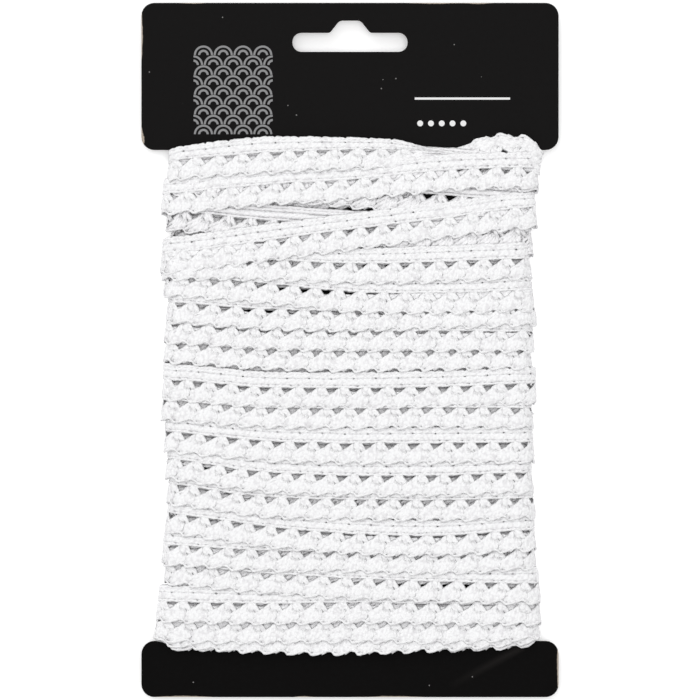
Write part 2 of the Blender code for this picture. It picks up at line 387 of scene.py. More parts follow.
@dataclass(frozen=True)
class LinePrint:
    """White ink in a thin line with a row of dots below it, on the right of the card's head.

    It gives the eye two small crisp marks where a card has its wording.

    Attributes:
        colour: Its colour, as sRGB hex.
        across: Where the line lies across the card, in metres.
        along: Where it lies along the card, in metres.
        dots: The row of dots, counted in dots from the line's left end.
        dots_level: Height of the dots' middles, in metres.
        spacing: Distance from dot to dot, in metres.
        dot_radius: Radius of a dot, as a share of the spacing.
    """

    colour: str = "e6e6e6"
    across: Stretch = Stretch(18.0 * MM, 44.5 * MM)
    along: Stretch = Stretch(69.6 * MM, 70.2 * MM)
    dots: Stretch = Stretch(0.0, 5.0)
    dots_level: float = 63.0 * MM
    spacing: float = 3.0 * MM
    dot_radius: float = 0.27

    def mark(
        self, tree: bpy.types.NodeTree, x: bpy.types.NodeSocket, y: bpy.types.NodeSocket
    ) -> bpy.types.NodeSocket:
        """Where the line and the dots are printed.

        Args:
            tree: The board's node tree.
            x: Place across the card.
            y: Place along it.

        Returns:
            A socket that is 1 on the print and 0 elsewhere.
        """
        from_left = add_node(tree, MATH, x, self.across.low, operation="SUBTRACT")
        from_level = add_node(tree, MATH, y, self.dots_level, operation="SUBTRACT")
        dot = add_node(tree, MATH, from_left, self.spacing, operation="DIVIDE")
        in_dot = add_node(tree, MATH, dot, operation="FRACT")
        side = add_node(tree, MATH, in_dot, 0.5, operation="SUBTRACT")
        rise = add_node(tree, MATH, from_level, self.spacing, operation="DIVIDE")
        rise_squared = add_node(tree, MATH, rise, rise, operation="MULTIPLY")
        squared = add_node(tree, MATH, side, side, rise_squared, operation="MULTIPLY_ADD")
        radius = add_node(tree, MATH, squared, operation="SQRT")
        disc = add_node(tree, MATH, radius, self.dot_radius, operation="LESS_THAN")
        in_width, in_height, in_row = (
            add_node(tree, MATH, value, stretch.middle, stretch.half, operation="COMPARE")
            for value, stretch in ((x, self.across), (y, self.along), (dot, self.dots))
        )
        line = add_node(tree, MATH, in_width, in_height, operation="MULTIPLY")
        row = add_node(tree, MATH, disc, in_row, operation="MULTIPLY")
        return add_node(tree, MATH, line, row, operation="MAXIMUM")


@dataclass(frozen=True)
class Crease:
    """Ink that was stretched where the board was once bent, across the right of the foot.

    It gives the eye a faint broken grey streak that fades towards the middle.

    Attributes:
        colour: Its colour, as sRGB hex.
        end_x: Where its outer end lies across the card, in metres.
        end_y: Where that end lies along it, in metres.
        angle_x: How far it goes across the card for each metre of its length.
        angle_y: How far it goes down the card for each metre of its length.
        length: Its length, in metres.
        width: How far from its middle it fades out, in metres.
        fade: Length in which it fades away, as a share of its own.
    """

    colour: str = "2e2b2a"
    end_x: float = 48.0 * MM
    end_y: float = -82.5 * MM
    angle_x: float = 0.879
    angle_y: float = 0.478
    length: float = 23.0 * MM
    width: float = 1.5 * MM
    fade: float = 1.1

    def mark(
        self,
        tree: bpy.types.NodeTree,
        x: bpy.types.NodeSocket,
        y: bpy.types.NodeSocket,
        broken: bpy.types.NodeSocket,
    ) -> bpy.types.NodeSocket:
        """Where the crease shows.

        Args:
            tree: The board's node tree.
            x: Place across the card.
            y: Place along it.
            broken: A noise that breaks the crease up.

        Returns:
            A socket that is highest on the crease and 0 away from it.
        """
        reach = Stretch(0.0, self.length)
        from_x = add_node(tree, MATH, self.end_x, x, operation="SUBTRACT")
        from_y = add_node(tree, MATH, self.end_y, y, operation="SUBTRACT")
        down = add_node(tree, MATH, from_y, self.angle_y, operation="MULTIPLY")
        beside = add_node(tree, MATH, from_y, -self.angle_x, operation="MULTIPLY")
        along = add_node(tree, MATH, from_x, self.angle_x, down, operation="MULTIPLY_ADD")
        off = add_node(tree, MATH, from_x, self.angle_y, beside, operation="MULTIPLY_ADD")
        either_side = add_node(tree, MATH, off, operation="ABSOLUTE")
        off_share = add_node(tree, MATH, either_side, self.width, operation="DIVIDE")
        near = add_node(tree, MATH, 1.0, off_share, operation="SUBTRACT")
        soft = add_node(tree, MATH, near, 0.0, operation="MAXIMUM")
        on_it = add_node(tree, MATH, along, reach.middle, reach.half, operation="COMPARE")
        streak = add_node(tree, MATH, soft, on_it, operation="MULTIPLY")
        gone = add_node(tree, MATH, along, self.fade * self.length, operation="DIVIDE")
        left = add_node(tree, MATH, 1.0, gone, operation="SUBTRACT")
        fading = add_node(tree, MATH, streak, left, operation="MULTIPLY")
        return add_node(tree, MATH, fading, broken, operation="MULTIPLY")


@dataclass(frozen=True)
class BoardFinish:
    """Stiff grey board, printed matt black on both faces and stamped out.

    The ink gives the eye a flat deep black with a few pale specks. It has come off in places
    along the stamped edges, and the grey core shows on the cut sides.

    Attributes:
        name: The material's name.
        ink: Colour of the print on the head, as sRGB hex.
        foot_colour: Colour of the foot, which is darker than the head.
        core: Colour of the board where it was cut.
        worn: Colour where the print has come off at an edge.
        speck: Colour of a bare speck.
        speck_strength: How much of that colour a speck has.
        speck_spacing: Distance between places where a speck may lie, in metres.
        speck_size: Radius of a speck, as a share of that distance.
        patch: Distance from worn stretch to worn stretch along an edge, in metres.
        nibble: Distance between the nibbles in a worn edge, in metres.
        wear: How far wear may reach in from an edge, in metres.
        rubbed_level: Height of the place where the left edge was rubbed, in metres.
        rubbed: How far the wear reaches in there, in metres.
        rubbed_fade: How much less far it reaches, for each metre away from there.
        roughness: Least roughness of the print.
        roughness_spread: How much the grain adds to it at most.
        gloss: The shader's specular level.
        grain: Distance between the grains of the print, in metres.
        grain_depth: Their depth, in metres.
        fans: The print on the left of the head.
        line: The print on its right.
        crease: The crease on the foot.
    """

    name: str = "black_board"
    ink: str = "131212"
    foot_colour: str = "080707"
    core: str = "77706a"
    worn: str = "a79c90"
    speck: str = "c8c6c4"
    speck_strength: float = 0.35
    speck_spacing: float = 5.263 * MM
    speck_size: float = 0.035
    patch: float = 22.22 * MM
    nibble: float = 2.381 * MM
    wear: float = 6.0 * MM
    rubbed_level: float = 58.5 * MM
    rubbed: float = 2.2 * MM
    rubbed_fade: float = 0.6
    roughness: float = 0.53
    roughness_spread: float = 0.15
    gloss: float = 0.04
    # A print's own grain is finer than 0.1 mm. It is drawn about 1 mm wide, so that it shows.
    grain: float = 1.111 * MM
    grain_depth: float = 0.01 * MM
    fans: FanPrint = FanPrint()
    line: LinePrint = LinePrint()
    crease: Crease = Crease()

    def wear_mark(
        self,
        tree: bpy.types.NodeTree,
        place: bpy.types.NodeSocket,
        patches: bpy.types.NodeSocket,
        corner: Vector,
    ) -> bpy.types.NodeSocket:
        """Where the print has come off along the card's edges.

        Args:
            tree: The board's node tree.
            place: Place on the card.
            patches: A slow noise that says which stretches are worn.
            corner: The card's corner furthest to the right, the head and the front.

        Returns:
            A socket that is 1 where the print has come off.
        """
        x = add_node(tree, SPLIT, place)
        y = x.node.outputs[1]
        off_x = add_node(tree, MATH, x, operation="ABSOLUTE")
        off_y = add_node(tree, MATH, y, operation="ABSOLUTE")
        side = add_node(tree, MATH, corner.x, off_x, operation="SUBTRACT")
        end = add_node(tree, MATH, corner.y, off_y, operation="SUBTRACT")
        inside = add_node(tree, MATH, side, end, operation="MINIMUM")
        more = add_node(tree, MATH, patches, 0.5, operation="SUBTRACT")
        worn_in = add_node(tree, MATH, more, self.wear, operation="MULTIPLY")
        rubbed_place = (-corner.x, self.rubbed_level, corner.z)
        away = add_node(tree, VECTOR, place, rubbed_place, out="Value", operation="DISTANCE")
        less = add_node(tree, MATH, away, self.rubbed_fade, operation="MULTIPLY")
        rubbed = add_node(tree, MATH, self.rubbed, less, operation="SUBTRACT")
        rubbed_in = add_node(tree, MATH, rubbed, 0.0, operation="MAXIMUM")
        reach = add_node(tree, MATH, worn_in, rubbed_in, operation="MAXIMUM")
        nibbles = {"Vector": place, "Scale": 1.0 / self.nibble, "Detail": 4.0, "Roughness": 0.7}
        nibbled = add_node(tree, NOISE, named=nibbles)
        ragged = add_node(tree, MATH, nibbled, reach, operation="MULTIPLY")
        return add_node(tree, MATH, inside, ragged, operation="LESS_THAN")

    def speck_mark(
        self, tree: bpy.types.NodeTree, place: bpy.types.NodeSocket
    ) -> bpy.types.NodeSocket:
        """The bare specks that dust leaves in a print.

        Args:
            tree: The board's node tree.
            place: Place on the card.

        Returns:
            A socket that is above 0 on a speck.
        """
        cells = {"Vector": place, "Scale": 1.0 / self.speck_spacing, "Randomness": 1.0}
        away = add_node(tree, VORONOI, named=cells, out="Distance", feature="F1")
        on_speck = add_node(tree, MATH, away, self.speck_size, operation="LESS_THAN")
        return add_node(tree, MATH, on_speck, self.speck_strength, operation="MULTIPLY")

    def cut_mark(self, tree: bpy.types.NodeTree) -> bpy.types.NodeSocket:
        """The card's cut sides, which face neither up nor down.

        Args:
            tree: The board's node tree.

        Returns:
            A socket that is 1 on them.
        """
        facing = add_node(tree, "ShaderNodeNewGeometry", out="True Normal")
        facing_up = add_node(tree, SPLIT, facing).node.outputs[2]
        upright = add_node(tree, MATH, facing_up, operation="ABSOLUTE")
        return add_node(tree, MATH, upright, 0.5, operation="LESS_THAN")

    def material(self) -> bpy.types.Material:
        """Make the board's material.

        Returns:
            The material.
        """
        low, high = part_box("card")
        material, tree, shader = new_material(self.name)
        place = add_node(tree, "ShaderNodeTexCoord", out="Object")
        x = add_node(tree, SPLIT, place)
        y = x.node.outputs[1]
        z = x.node.outputs[2]
        worn_stretches = {"Vector": place, "Scale": 1.0 / self.patch, "Detail": 2.0}
        patches = add_node(tree, NOISE, named=worn_stretches)
        on_foot = add_node(tree, MATH, y, 0.0, operation="LESS_THAN")
        on_front = add_node(tree, MATH, z, (low.z + high.z) / 2.0, operation="GREATER_THAN")
        fans = add_node(tree, MATH, self.fans.mark(tree, x, y), on_front, operation="MULTIPLY")
        line = add_node(tree, MATH, self.line.mark(tree, x, y), on_front, operation="MULTIPLY")
        # Each one covers what comes before it
        coats = (
            (on_foot, self.foot_colour),
            (self.speck_mark(tree, place), self.speck),
            (self.crease.mark(tree, x, y, patches), self.crease.colour),
            (fans, self.fans.colour),
            (line, self.line.colour),
            (self.wear_mark(tree, place, patches, high), self.worn),
            (self.cut_mark(tree), self.core),
        )
        colour = linear(self.ink)
        for mark, hex_colour in coats:
            coat = {"Factor": mark, FIRST_COLOUR: colour, SECOND_COLOUR: linear(hex_colour)}
            colour = add_node(tree, MIX, named=coat, out=MIXED_COLOUR, data_type="RGBA")
        grains = {"Vector": place, "Scale": 1.0 / self.grain, "Detail": 3.0}
        grain = add_node(tree, NOISE, named=grains)
        spread = self.roughness_spread
        uneven = add_node(tree, MATH, grain, spread, self.roughness, operation="MULTIPLY_ADD")
        relief = {"Height": grain, "Distance": self.grain_depth, "Strength": 0.6}
        bump = add_node(tree, "ShaderNodeBump", named=relief)
        tree.links.new(colour, shader.inputs["Base Color"])
        tree.links.new(uneven, shader.inputs["Roughness"])
        tree.links.new(bump, shader.inputs["Normal"])
        shader.inputs["Specular IOR Level"].default_value = self.gloss
        return material


@dataclass(frozen=True)
class FloorFinish:
    """Plain white table top, lit from under, which gives the eye an even pale ground.

    Attributes:
        name: The material's name.
        colour: Its colour, as sRGB hex.
        glow: Strength of the light that it gives off.
    """

    name: str = "floor_white"
    colour: str = "fefefe"
    glow: float = 0.24

    def material(self) -> bpy.types.Material:
        """Make the floor's material.

        Returns:
            The material.
        """
        material, _, shader = new_material(self.name)
        shader.inputs["Base Color"].default_value = linear(self.colour)
        shader.inputs["Roughness"].default_value = 1.0
        shader.inputs["Specular IOR Level"].default_value = 0.0
        shader.inputs["Emission Color"].default_value = linear("ffffff")
        shader.inputs["Emission Strength"].default_value = self.glow
        return material


COTTON = YarnFinish("white_cotton", painted_ply_shade="f2f2f3", painted_loop_shade="e7e6e8", roughness=0.92)
# The yarn of the layers below: the same white with lighter painted shade between the loops, which
# lightens those layers where the outer turns shade them
UNDER_COTTON = YarnFinish("white_cotton_below", painted_ply_shade="f2f1f3", painted_loop_shade="ebeaec", roughness=0.94)


# ---------------------------------------------------------------- one repeat of the lace


class Detail(Enum):
    """How finely the yarns are made.

    The numbers are points round a yarn, longest step along a strand in mm, and steps along
    one repeat of a row and of the scalloped edge.
    """

    OUTER = (6, 1.5, 12, 9)
    UNDER = (4, 2.6, 3, 6)

    @property
    def sides(self) -> int:
        """Points round a yarn."""
        return self.value[0]

    @property
    def step(self) -> float:
        """Longest step along a strand, in mm."""
        return self.value[1]

    @property
    def row_steps(self) -> int:
        """Steps along one repeat of a row."""
        return self.value[2]

    @property
    def edge_steps(self) -> int:
        """Steps along one repeat of the scalloped edge."""
        return self.value[3]


@dataclass(frozen=True)
class LacePattern:
    """The edging's measurements in mm, with the row of eyelets on y = 0 and the heading up.

    Attributes:
        pitch: Length of one repeat.
        heading_top: Height of the heading's edge over the eyelets.
        scallop_low: Depth of the scallops' lowest points under the eyelets.
        width: Whole width of the edging.
    """

    pitch: float = 6.17
    heading_top: float = 5.4
    scallop_low: float = -5.5
    width: float = 11.0


PATTERN = LacePattern()

# Steps in which the line of a route goes past each repeat of the lace
STEPS_PER_REPEAT = 8


@dataclass(frozen=True)
class Row:
    """One lengthwise row of the heading, in mm, with pinholes between it and its neighbours.

    Attributes:
        name: What it is.
        low: Height of its lower edge.
        low_hole: How far a pinhole takes its lower edge up.
        low_shift: How far those pinholes are shifted, as a share of their spacing.
        high: Height of its upper edge.
        high_hole: How far a pinhole takes its upper edge down.
        high_shift: How far those pinholes are shifted.
        height: How far it stands out of the lace.
        thickness: Its thickness.
    """

    name: str
    low: float
    low_hole: float
    low_shift: float
    high: float
    high_hole: float
    high_shift: float
    height: float
    thickness: float


ROWS = (
    Row("edge", 4.35, 0.0, 0.0, 5.35, 0.30, 0.0, 0.05, 0.66),
    Row("upper", 3.40, 0.26, 0.0, 4.50, 0.0, 0.0, 0.08, 0.70),
    Row("middle", 1.50, 0.24, 0.5, 3.50, 0.24, 0.0, 0.05, 0.75),
    Row("lower", 0.86, 0.0, 0.0, 1.60, 0.26, 0.5, 0.05, 0.62),
)


@dataclass(frozen=True)
class Strand:
    """One strand of the pillars and shells, in mm.

    Attributes:
        name: What it is.
        start: Its end at the pillar, as x, y.
        middle: A place halfway along it.
        end: Its far end.
        width: Its width at the start and at the end.
        height: How far its middle stands out of the lace.
    """

    name: str
    start: tuple[float, float]
    middle: tuple[float, float]
    end: tuple[float, float]
    width: tuple[float, float]
    height: float


STRANDS = (
    Strand("pillar", (3.55, -1.7), (3.25, 0.0), (3.3, 1.55), (2.3, 2.3), 0.02),
    Strand("foot", (3.85, 1.2), (4.5, -0.4), (5.6, -1.8), (1.5, 2.0), 0.04),
    Strand("fan_1", (2.5, 0.65), (0.95, -1.05), (-2.7, -2.8), (1.7, 1.9), 0.12),
    Strand("fan_2", (2.5, -0.7), (0.6, -2.2), (-2.55, -4.05), (1.8, 2.2), 0.18),
    Strand("fan_3", (2.9, -1.15), (1.15, -2.95), (-1.35, -4.6), (1.8, 2.3), 0.22),
    Strand("fan_4", (3.3, -1.3), (2.2, -3.1), (0.6, -4.45), (1.8, 2.3), 0.20),
    Strand("fan_5", (3.95, -1.3), (3.4, -2.8), (2.35, -3.9), (1.8, 2.2), 0.16),
)


@dataclass(frozen=True)
class Scallops:
    """The yarn round the scallops, in mm.

    Attributes:
        notch: Where the notch between two scallops lies along the repeat.
        drop: Share of the repeat in which the yarn drops after a notch.
        high: Height of its middle at a notch.
        depth: How far it drops.
        half_width: Half its width.
        height: How far it stands out of the lace.
        thickness: Its thickness.
    """

    notch: float = 3.05
    drop: float = 0.22
    high: float = -3.85
    depth: float = 1.1
    half_width: float = 0.34
    height: float = 0.05
    thickness: float = 0.7


@dataclass
class LaceRepeat:
    """One repeat of the edging, as a mesh of yarns that joins on to the next repeat.

    Attributes:
        name: Name of the object.
        detail: How finely to make the yarns.
        pattern: The edging's measurements.
        rows: The rows of its heading.
        strands: The strands of its pillars and shells.
        scallops: The yarn round its scallops.
        pinholes: How many pinholes a repeat has between two rows.
        pinhole_size: How far open they are on average.
        pinhole_spread: How much more or less open the largest and smallest are.
        pinhole_lag: How far the sizes are moved on for pinholes that are shifted.
        spread: How much wider a row is than the space between its edges, so that rows meet.
        row_fullness: How much of its thickness a row has on average.
        row_swell: How much thicker it is at its pinholes, as a share of that.
        flatness: Thickness of a strand as a share of its width.
        slimmest: Share of its width and thickness that a strand has at its ends.
        thickest: Greatest thickness of a strand, in mm.
        end_level: How far a strand's ends stand out of the lace, in mm.
    """

    name: str
    detail: Detail
    pattern: LacePattern = PATTERN
    rows: tuple[Row, ...] = ROWS
    strands: tuple[Strand, ...] = STRANDS
    scallops: Scallops = Scallops()
    pinholes: float = 3.0
    pinhole_size: float = 0.62
    pinhole_spread: float = 0.5
    pinhole_lag: float = 1.3
    spread: float = 1.16
    row_fullness: float = 0.95
    row_swell: float = 0.12
    flatness: float = 0.33
    slimmest: float = 0.66
    thickest: float = 0.56
    end_level: float = 0.05

    def __post_init__(self) -> None:
        """Start an empty mesh with the yarns' own UV map."""
        self.work = bmesh.new()
        self.uv = self.work.loops.layers.uv.new("yarn")

    def sweep(
        self,
        points: Sequence[Vector],
        width: Sequence[float],
        thickness: Sequence[float],
        capped: bool,
    ) -> None:
        """Sweep a yarn with an oval section along points.

        Args:
            points: Middle of the yarn, in mm.
            width: Its width at each point, in mm.
            thickness: Its thickness at each point, in mm.
            capped: Whether its ends are closed. An open end meets the next repeat.
        """
        sides = self.detail.sides
        rings = []
        distances = [0.0]
        for before, after in zip(points, points[1:]):
            distances.append(distances[-1] + (after - before).length)
        last = len(points) - 1
        for n, middle in enumerate(points):
            ahead = points[min(n + 1, last)] - points[max(n - 1, 0)]
            if not capped:
                ahead = Vector((1.0, 0.0, 0.0))
            ahead.normalize()
            across = Vector((0.0, 0.0, 1.0)).cross(ahead).normalized()
            out = ahead.cross(across)
            ring = []
            for side in range(sides):
                angle = 2.0 * math.pi * side / sides
                off = across * (math.cos(angle) * width[n] / 2.0)
                off += out * (math.sin(angle) * thickness[n] / 2.0)
                ring.append(self.work.verts.new((middle + off) * MM))
            rings.append(ring)
        for n, (first, second) in enumerate(zip(rings, rings[1:])):
            for side in range(sides):
                after = (side + 1) % sides
                face = self.work.faces.new((first[side], first[after], second[after], second[side]))
                marks = ((n, side), (n, side + 1), (n + 1, side + 1), (n + 1, side))
                for loop, (row, column) in zip(face.loops, marks):
                    loop[self.uv].uv = (distances[row] * MM, column / sides)
        if capped:
            for ring, reverse in ((rings[0], True), (rings[-1], False)):
                self.work.faces.new(tuple(reversed(ring)) if reverse else tuple(ring))

    def lengthwise(
        self,
        edges: Callable[[float], tuple[float, float]],
        height: float,
        thickness: float,
        steps: int,
    ) -> None:
        """A yarn that runs along the lace from this repeat into the next.

        Args:
            edges: Gives its lower and upper edge in mm for a share of the repeat from 0 to 1.
            height: How far it stands out of the lace, in mm.
            thickness: Its thickness in mm.
            steps: Steps along the repeat.
        """
        points = []
        widths = []
        thick = []
        for n in range(steps + 1):
            share = n / steps
            low, high = edges(share)
            points.append(Vector((share * self.pattern.pitch, (low + high) / 2.0, height)))
            widths.append((high - low) * self.spread)
            swell = self.row_swell * math.cos(2.0 * math.pi * self.pinholes * share)
            thick.append(self.row_fullness * thickness * (1.0 + swell))
        self.sweep(points, widths, thick, False)

    def strand(self, strand: Strand) -> None:
        """A closed strand, fullest in its middle and slimmer at its ends.

        Args:
            strand: Its shape.
        """
        start, middle, end = strand.start, strand.middle, strand.end
        corners = [
            Vector((start[0], start[1], self.end_level)),
            Vector((middle[0], middle[1], strand.height)),
            Vector((end[0], end[1], self.end_level)),
        ]
        length = sum((b - a).length for a, b in zip(corners, corners[1:]))
        steps = max(2, round(length / self.detail.step))
        points = []
        widths = []
        thick = []
        for n in range(steps + 1):
            share = n / steps
            full = self.slimmest + (1.0 - self.slimmest) * math.sin(math.pi * share) ** 0.5
            width = strand.width[0] + (strand.width[1] - strand.width[0]) * share
            points.append(through(corners, share))
            widths.append(width * full)
            thick.append(min(self.flatness * width, self.thickest) * full)
        self.sweep(points, widths, thick, True)

    def pinhole(self, share: float, shift: float) -> float:
        """How far open the pinholes are at a place. They aren't all of one size.

        Args:
            share: Place along the repeat, from 0 to 1.
            shift: How far the pinholes are shifted, as a share of their spacing.

        Returns:
            0 between pinholes, and up to about 1 in the middle of one.
        """
        if self.detail is Detail.UNDER:
            return 0.0
        larger = math.cos(2.0 * math.pi * (share + self.pinhole_lag * shift))
        size = self.pinhole_size + self.pinhole_spread * larger
        return size * max(0.0, math.cos(2.0 * math.pi * (self.pinholes * share + shift))) ** 2

    def heading(self) -> None:
        """The close part above the eyelets: lengthwise rows that leave pinholes between them."""
        for row in self.rows:

            def edges(share: float, row: Row = row) -> tuple[float, float]:
                """A row's lower and upper edge at a share of the repeat."""
                low = row.low + row.low_hole * self.pinhole(share, row.low_shift)
                return low, row.high - row.high_hole * self.pinhole(share, row.high_shift)

            self.lengthwise(edges, row.height, row.thickness, self.detail.row_steps)

    def shell(self) -> None:
        """The pillars between the eyelets, and the shells of slanting strands below them."""
        for strand in self.strands:
            self.strand(strand)

    def scallop_edge(self) -> None:
        """The yarn round the scallops: it drops steeply after a notch, then climbs slowly."""
        scallops = self.scallops
        notch = scallops.notch / self.pattern.pitch

        def edges(share: float) -> tuple[float, float]:
            """The yarn's edges at a place along the repeat.

            Args:
                share: The place, from 0 to 1.

            Returns:
                Heights of its lower and upper edge, in mm.
            """
            past = (share - notch) % 1.0
            dropped = past / scallops.drop
            climbed = (past - scallops.drop) / (1.0 - scallops.drop)
            level = ease(dropped if past < scallops.drop else 1.0 - climbed)
            middle = scallops.high - scallops.depth * level
            return middle - scallops.half_width, middle + scallops.half_width

        self.lengthwise(edges, scallops.height, scallops.thickness, self.detail.edge_steps)

    def make(self) -> bpy.types.Object:
        """Make the repeat's object.

        Returns:
            The object, kept out of the picture.
        """
        self.heading()
        self.shell()
        self.scallop_edge()
        for face in self.work.faces:
            face.smooth = True
        mesh = bpy.data.meshes.new(self.name)
        self.work.to_mesh(mesh)
        self.work.free()
        repeat = bpy.data.objects.new(self.name, mesh)
        bpy.context.scene.collection.objects.link(repeat)
        log.info("%s: %d faces", self.name, len(mesh.polygons))
        return repeat


def ease(share: float) -> float:
    """A smooth step from 0 to 1.

    Args:
        share: Any number; below 0 gives 0 and above 1 gives 1.

    Returns:
        The eased share.
    """
    held = min(max(share, 0.0), 1.0)
    return held * held * (3.0 - 2.0 * held)


def through(corners: Sequence[Vector], share: float) -> Vector:
    """A point on the smooth line through corners.

    Args:
        corners: Points that the line goes through, evenly spaced.
        share: How far along, from 0 to 1.

    Returns:
        The point.
    """
    spans = len(corners) - 1
    index = min(int(share * spans), spans - 1)
    local = share * spans - index
    p1 = corners[index]
    p2 = corners[index + 1]
    p0 = corners[index - 1] if index > 0 else p1 * 2.0 - p2
    p3 = corners[index + 2] if index + 2 <= spans else p2 * 2.0 - p1
    square = local * local
    cube = square * local
    return (
        p1 * 2.0
        + (p2 - p0) * local
        + (p0 * 2.0 - p1 * 5.0 + p2 * 4.0 - p3) * square
        + (p1 * 3.0 - p0 - p2 * 3.0 + p3) * cube
    ) * 0.5


# ---------------------------------------------------------------- the turns


@dataclass(frozen=True)
class Turn:
    """One turn of the lace, in mm.

    Attributes:
        row: Height of its row of eyelets at the five stations across the front.
        left: How far it reaches past the middle on the left.
        right: How far it reaches past the middle on the right.
        first: Place of an eyelet near the left.
        last: Place of an eyelet near the right.
        repeats: How many repeats lie between those two.
        lift: How much further out it lies than its neighbours.
        tilt: How steeply it leans out from its heading to its scallops.
        heading: Share of the heading's width that shows at the stations, where it curls.
    """

    row: tuple[float, float, float, float, float]
    left: float
    right: float
    first: float
    last: float
    repeats: int
    lift: float = 0.0
    tilt: float = 0.105
    heading: tuple[float, float, float, float, float] = (1.0, 1.0, 1.0, 1.0, 1.0)


# Places across the front at which a turn's heights are given, in mm
STATIONS = (-50.0, -25.0, 0.0, 25.0, 50.0)

# From the head down. The first one is turned over on itself, and curls along its heading
OUTER_TURNS = (
    Turn(
        (51.9, 53.7, 54.9, 55.1, 54.6),
        50.9,
        53.6,
        -39.8,
        11.7,
        8,
        lift=0.1,
        tilt=0.10,
        heading=(0.80, 1.02, 0.76, 0.6, 1.0),
    ),
    Turn((42.3, 44.9, 46.4, 48.9, 49.8), 52.5, 52.4, -48.4, 49.5, 16, 0.2),
    Turn((25.6, 29.2, 32.5, 35.6, 38.9), 52.7, 52.0, -49.5, 48.7, 16, 0.3),
    Turn((24.3, 24.2, 23.1, 23.6, 24.7), 52.3, 50.4, -21.7, 46.1, 11),
    Turn((19.7, 17.8, 15.3, 14.9, 15.8), 51.7, 51.0, -37.5, 43.1, 13),
    Turn((12.5, 10.6, 10.0, 10.7, 11.7), 50.9, 51.7, -47.3, 46.4, 15),
    Turn((6.7, 5.0, 4.4, 4.4, 4.2), 51.6, 51.2, -48.7, 44.5, 15),
    Turn((1.4, -0.4, -1.1, -0.8, -0.3), 51.7, 50.4, -47.0, 47.3, 15, -0.2),
    Turn((-8.9, -11.1, -11.4, -11.0, -10.0), 52.3, 52.0, -48.4, 50.6, 16, 0.9, 0.02),
    Turn((-14.7, -16.7, -17.0, -16.8, -17.0), 52.5, 50.9, -46.7, 45.9, 15),
    Turn((-23.4, -25.9, -26.7, -26.6, -26.4), 51.8, 51.3, -45.3, 48.9, 15, 0.2, 0.07),
    Turn((-30.9, -34.5, -35.6, -35.6, -34.8), 51.2, 50.9, -45.9, 47.5, 15),
    Turn((-37.8, -41.4, -42.3, -42.5, -42.0), 50.8, 51.4, -47.0, 45.9, 15),
    Turn((-45.9, -49.5, -51.7, -52.3, -50.6), 51.3, 51.7, -43.9, 49.2, 15),
    Turn((-54.8, -56.4, -56.7, -57.3, -55.9), 52.3, 51.6, -49.5, 43.6, 15),
    Turn((-60.0, -62.6, -64.2, -65.1, -65.6), 51.5, 53.0, -47.8, 51.2, 16),
    Turn((-70.6, -71.2, -70.9, -71.2, -71.4), 53.8, 53.1, -49.8, 50.9, 16, 0.2),
    Turn((-76.3, -76.5, -76.2, -76.5, -75.6), 54.2, 52.6, -48.1, 46.7, 15),
    Turn((-77.6, -79.2, -79.5, -78.6, -76.6), 54.0, 52.3, -47.3, 36.1, 13),
)


@dataclass(frozen=True)
class Beneath:
    """How a turn of the layer below lies under the outer turn that covers it, in mm.

    Attributes:
        outer: Number of the outer turn, from the head down.
        drop: How far below that turn's eyelets its own lie, at the five stations.
        shift: How far along its eyelets lie from that turn's.
        inside: How much less far it reaches on the left and right.
    """

    outer: int
    drop: tuple[float, float, float, float, float] = (3.0, 3.0, 3.0, 3.0, 3.0)
    shift: float = 0.0
    inside: float = 1.0

    def turn(self) -> Turn:
        """Work out the turn that it describes.

        Returns:
            The turn, a little shorter than the one over it.
        """
        over = OUTER_TURNS[self.outer - 1]
        row = tuple(level - drop for level, drop in zip(over.row, self.drop))
        first, last = over.first + self.shift, over.last + self.shift
        return Turn(row, over.left - self.inside, over.right - self.inside, first, last, over.repeats)


# Four show in the open places near the head, and the others through the eyelets
UNDER_TURNS = (
    Beneath(1, (3.0, 3.0, 3.2, 4.2, 6.0)).turn(),
    Turn((48.0, 46.4, 44.2, 42.2, 40.3), 51.0, 51.2, -46.0, 46.3, 15, 0.2),
    Turn((38.0, 35.3, 33.5, 32.5, 33.5), 51.2, 50.6, -43.1, 49.4, 15, 0.5),
    Turn((22.4, 26.0, 28.6, 28.4, 31.1), 50.8, 51.0, -44.8, 47.3, 15),
    Beneath(4, (3.0, 1.6, 0.2, 1.0, 3.0), 2.0).turn(),
    Beneath(5, (3.0, 1.2, 0.1, 1.8, 3.0)).turn(),
    Beneath(6, (3.0, 0.3, 3.0, 3.0, 3.0)).turn(),
    Beneath(7, shift=1.5).turn(),
    Beneath(8, (0.4, 2.2, 3.0, 3.0, 3.0)).turn(),
    Beneath(9, shift=1.0).turn(),
    Beneath(10, shift=2.0).turn(),
    Beneath(11, shift=1.0).turn(),
    Beneath(12, (0.4, 2.2, 3.0, 3.0, 3.0)).turn(),
    Beneath(13, shift=1.5).turn(),
    Beneath(14, shift=2.5).turn(),
    Beneath(15, shift=0.8).turn(),
    Beneath(16, (0.6, 3.0, 3.0, 0.2, 3.0)).turn(),
    Beneath(17, shift=1.8).turn(),
    Beneath(18, (2.2, 2.2, 2.2, 2.2, 2.2), 2.2).turn(),
)

# Both show only in the open places near the head
DEEPEST_TURNS = (
    Turn((43.5, 43.0, 44.5, 49.0, 50.0), 50.0, 50.0, -45.0, 47.0, 15),
    Turn((35.0, 32.3, 30.5, 29.5, 30.5), 50.0, 50.0, -46.5, 46.0, 15),
)


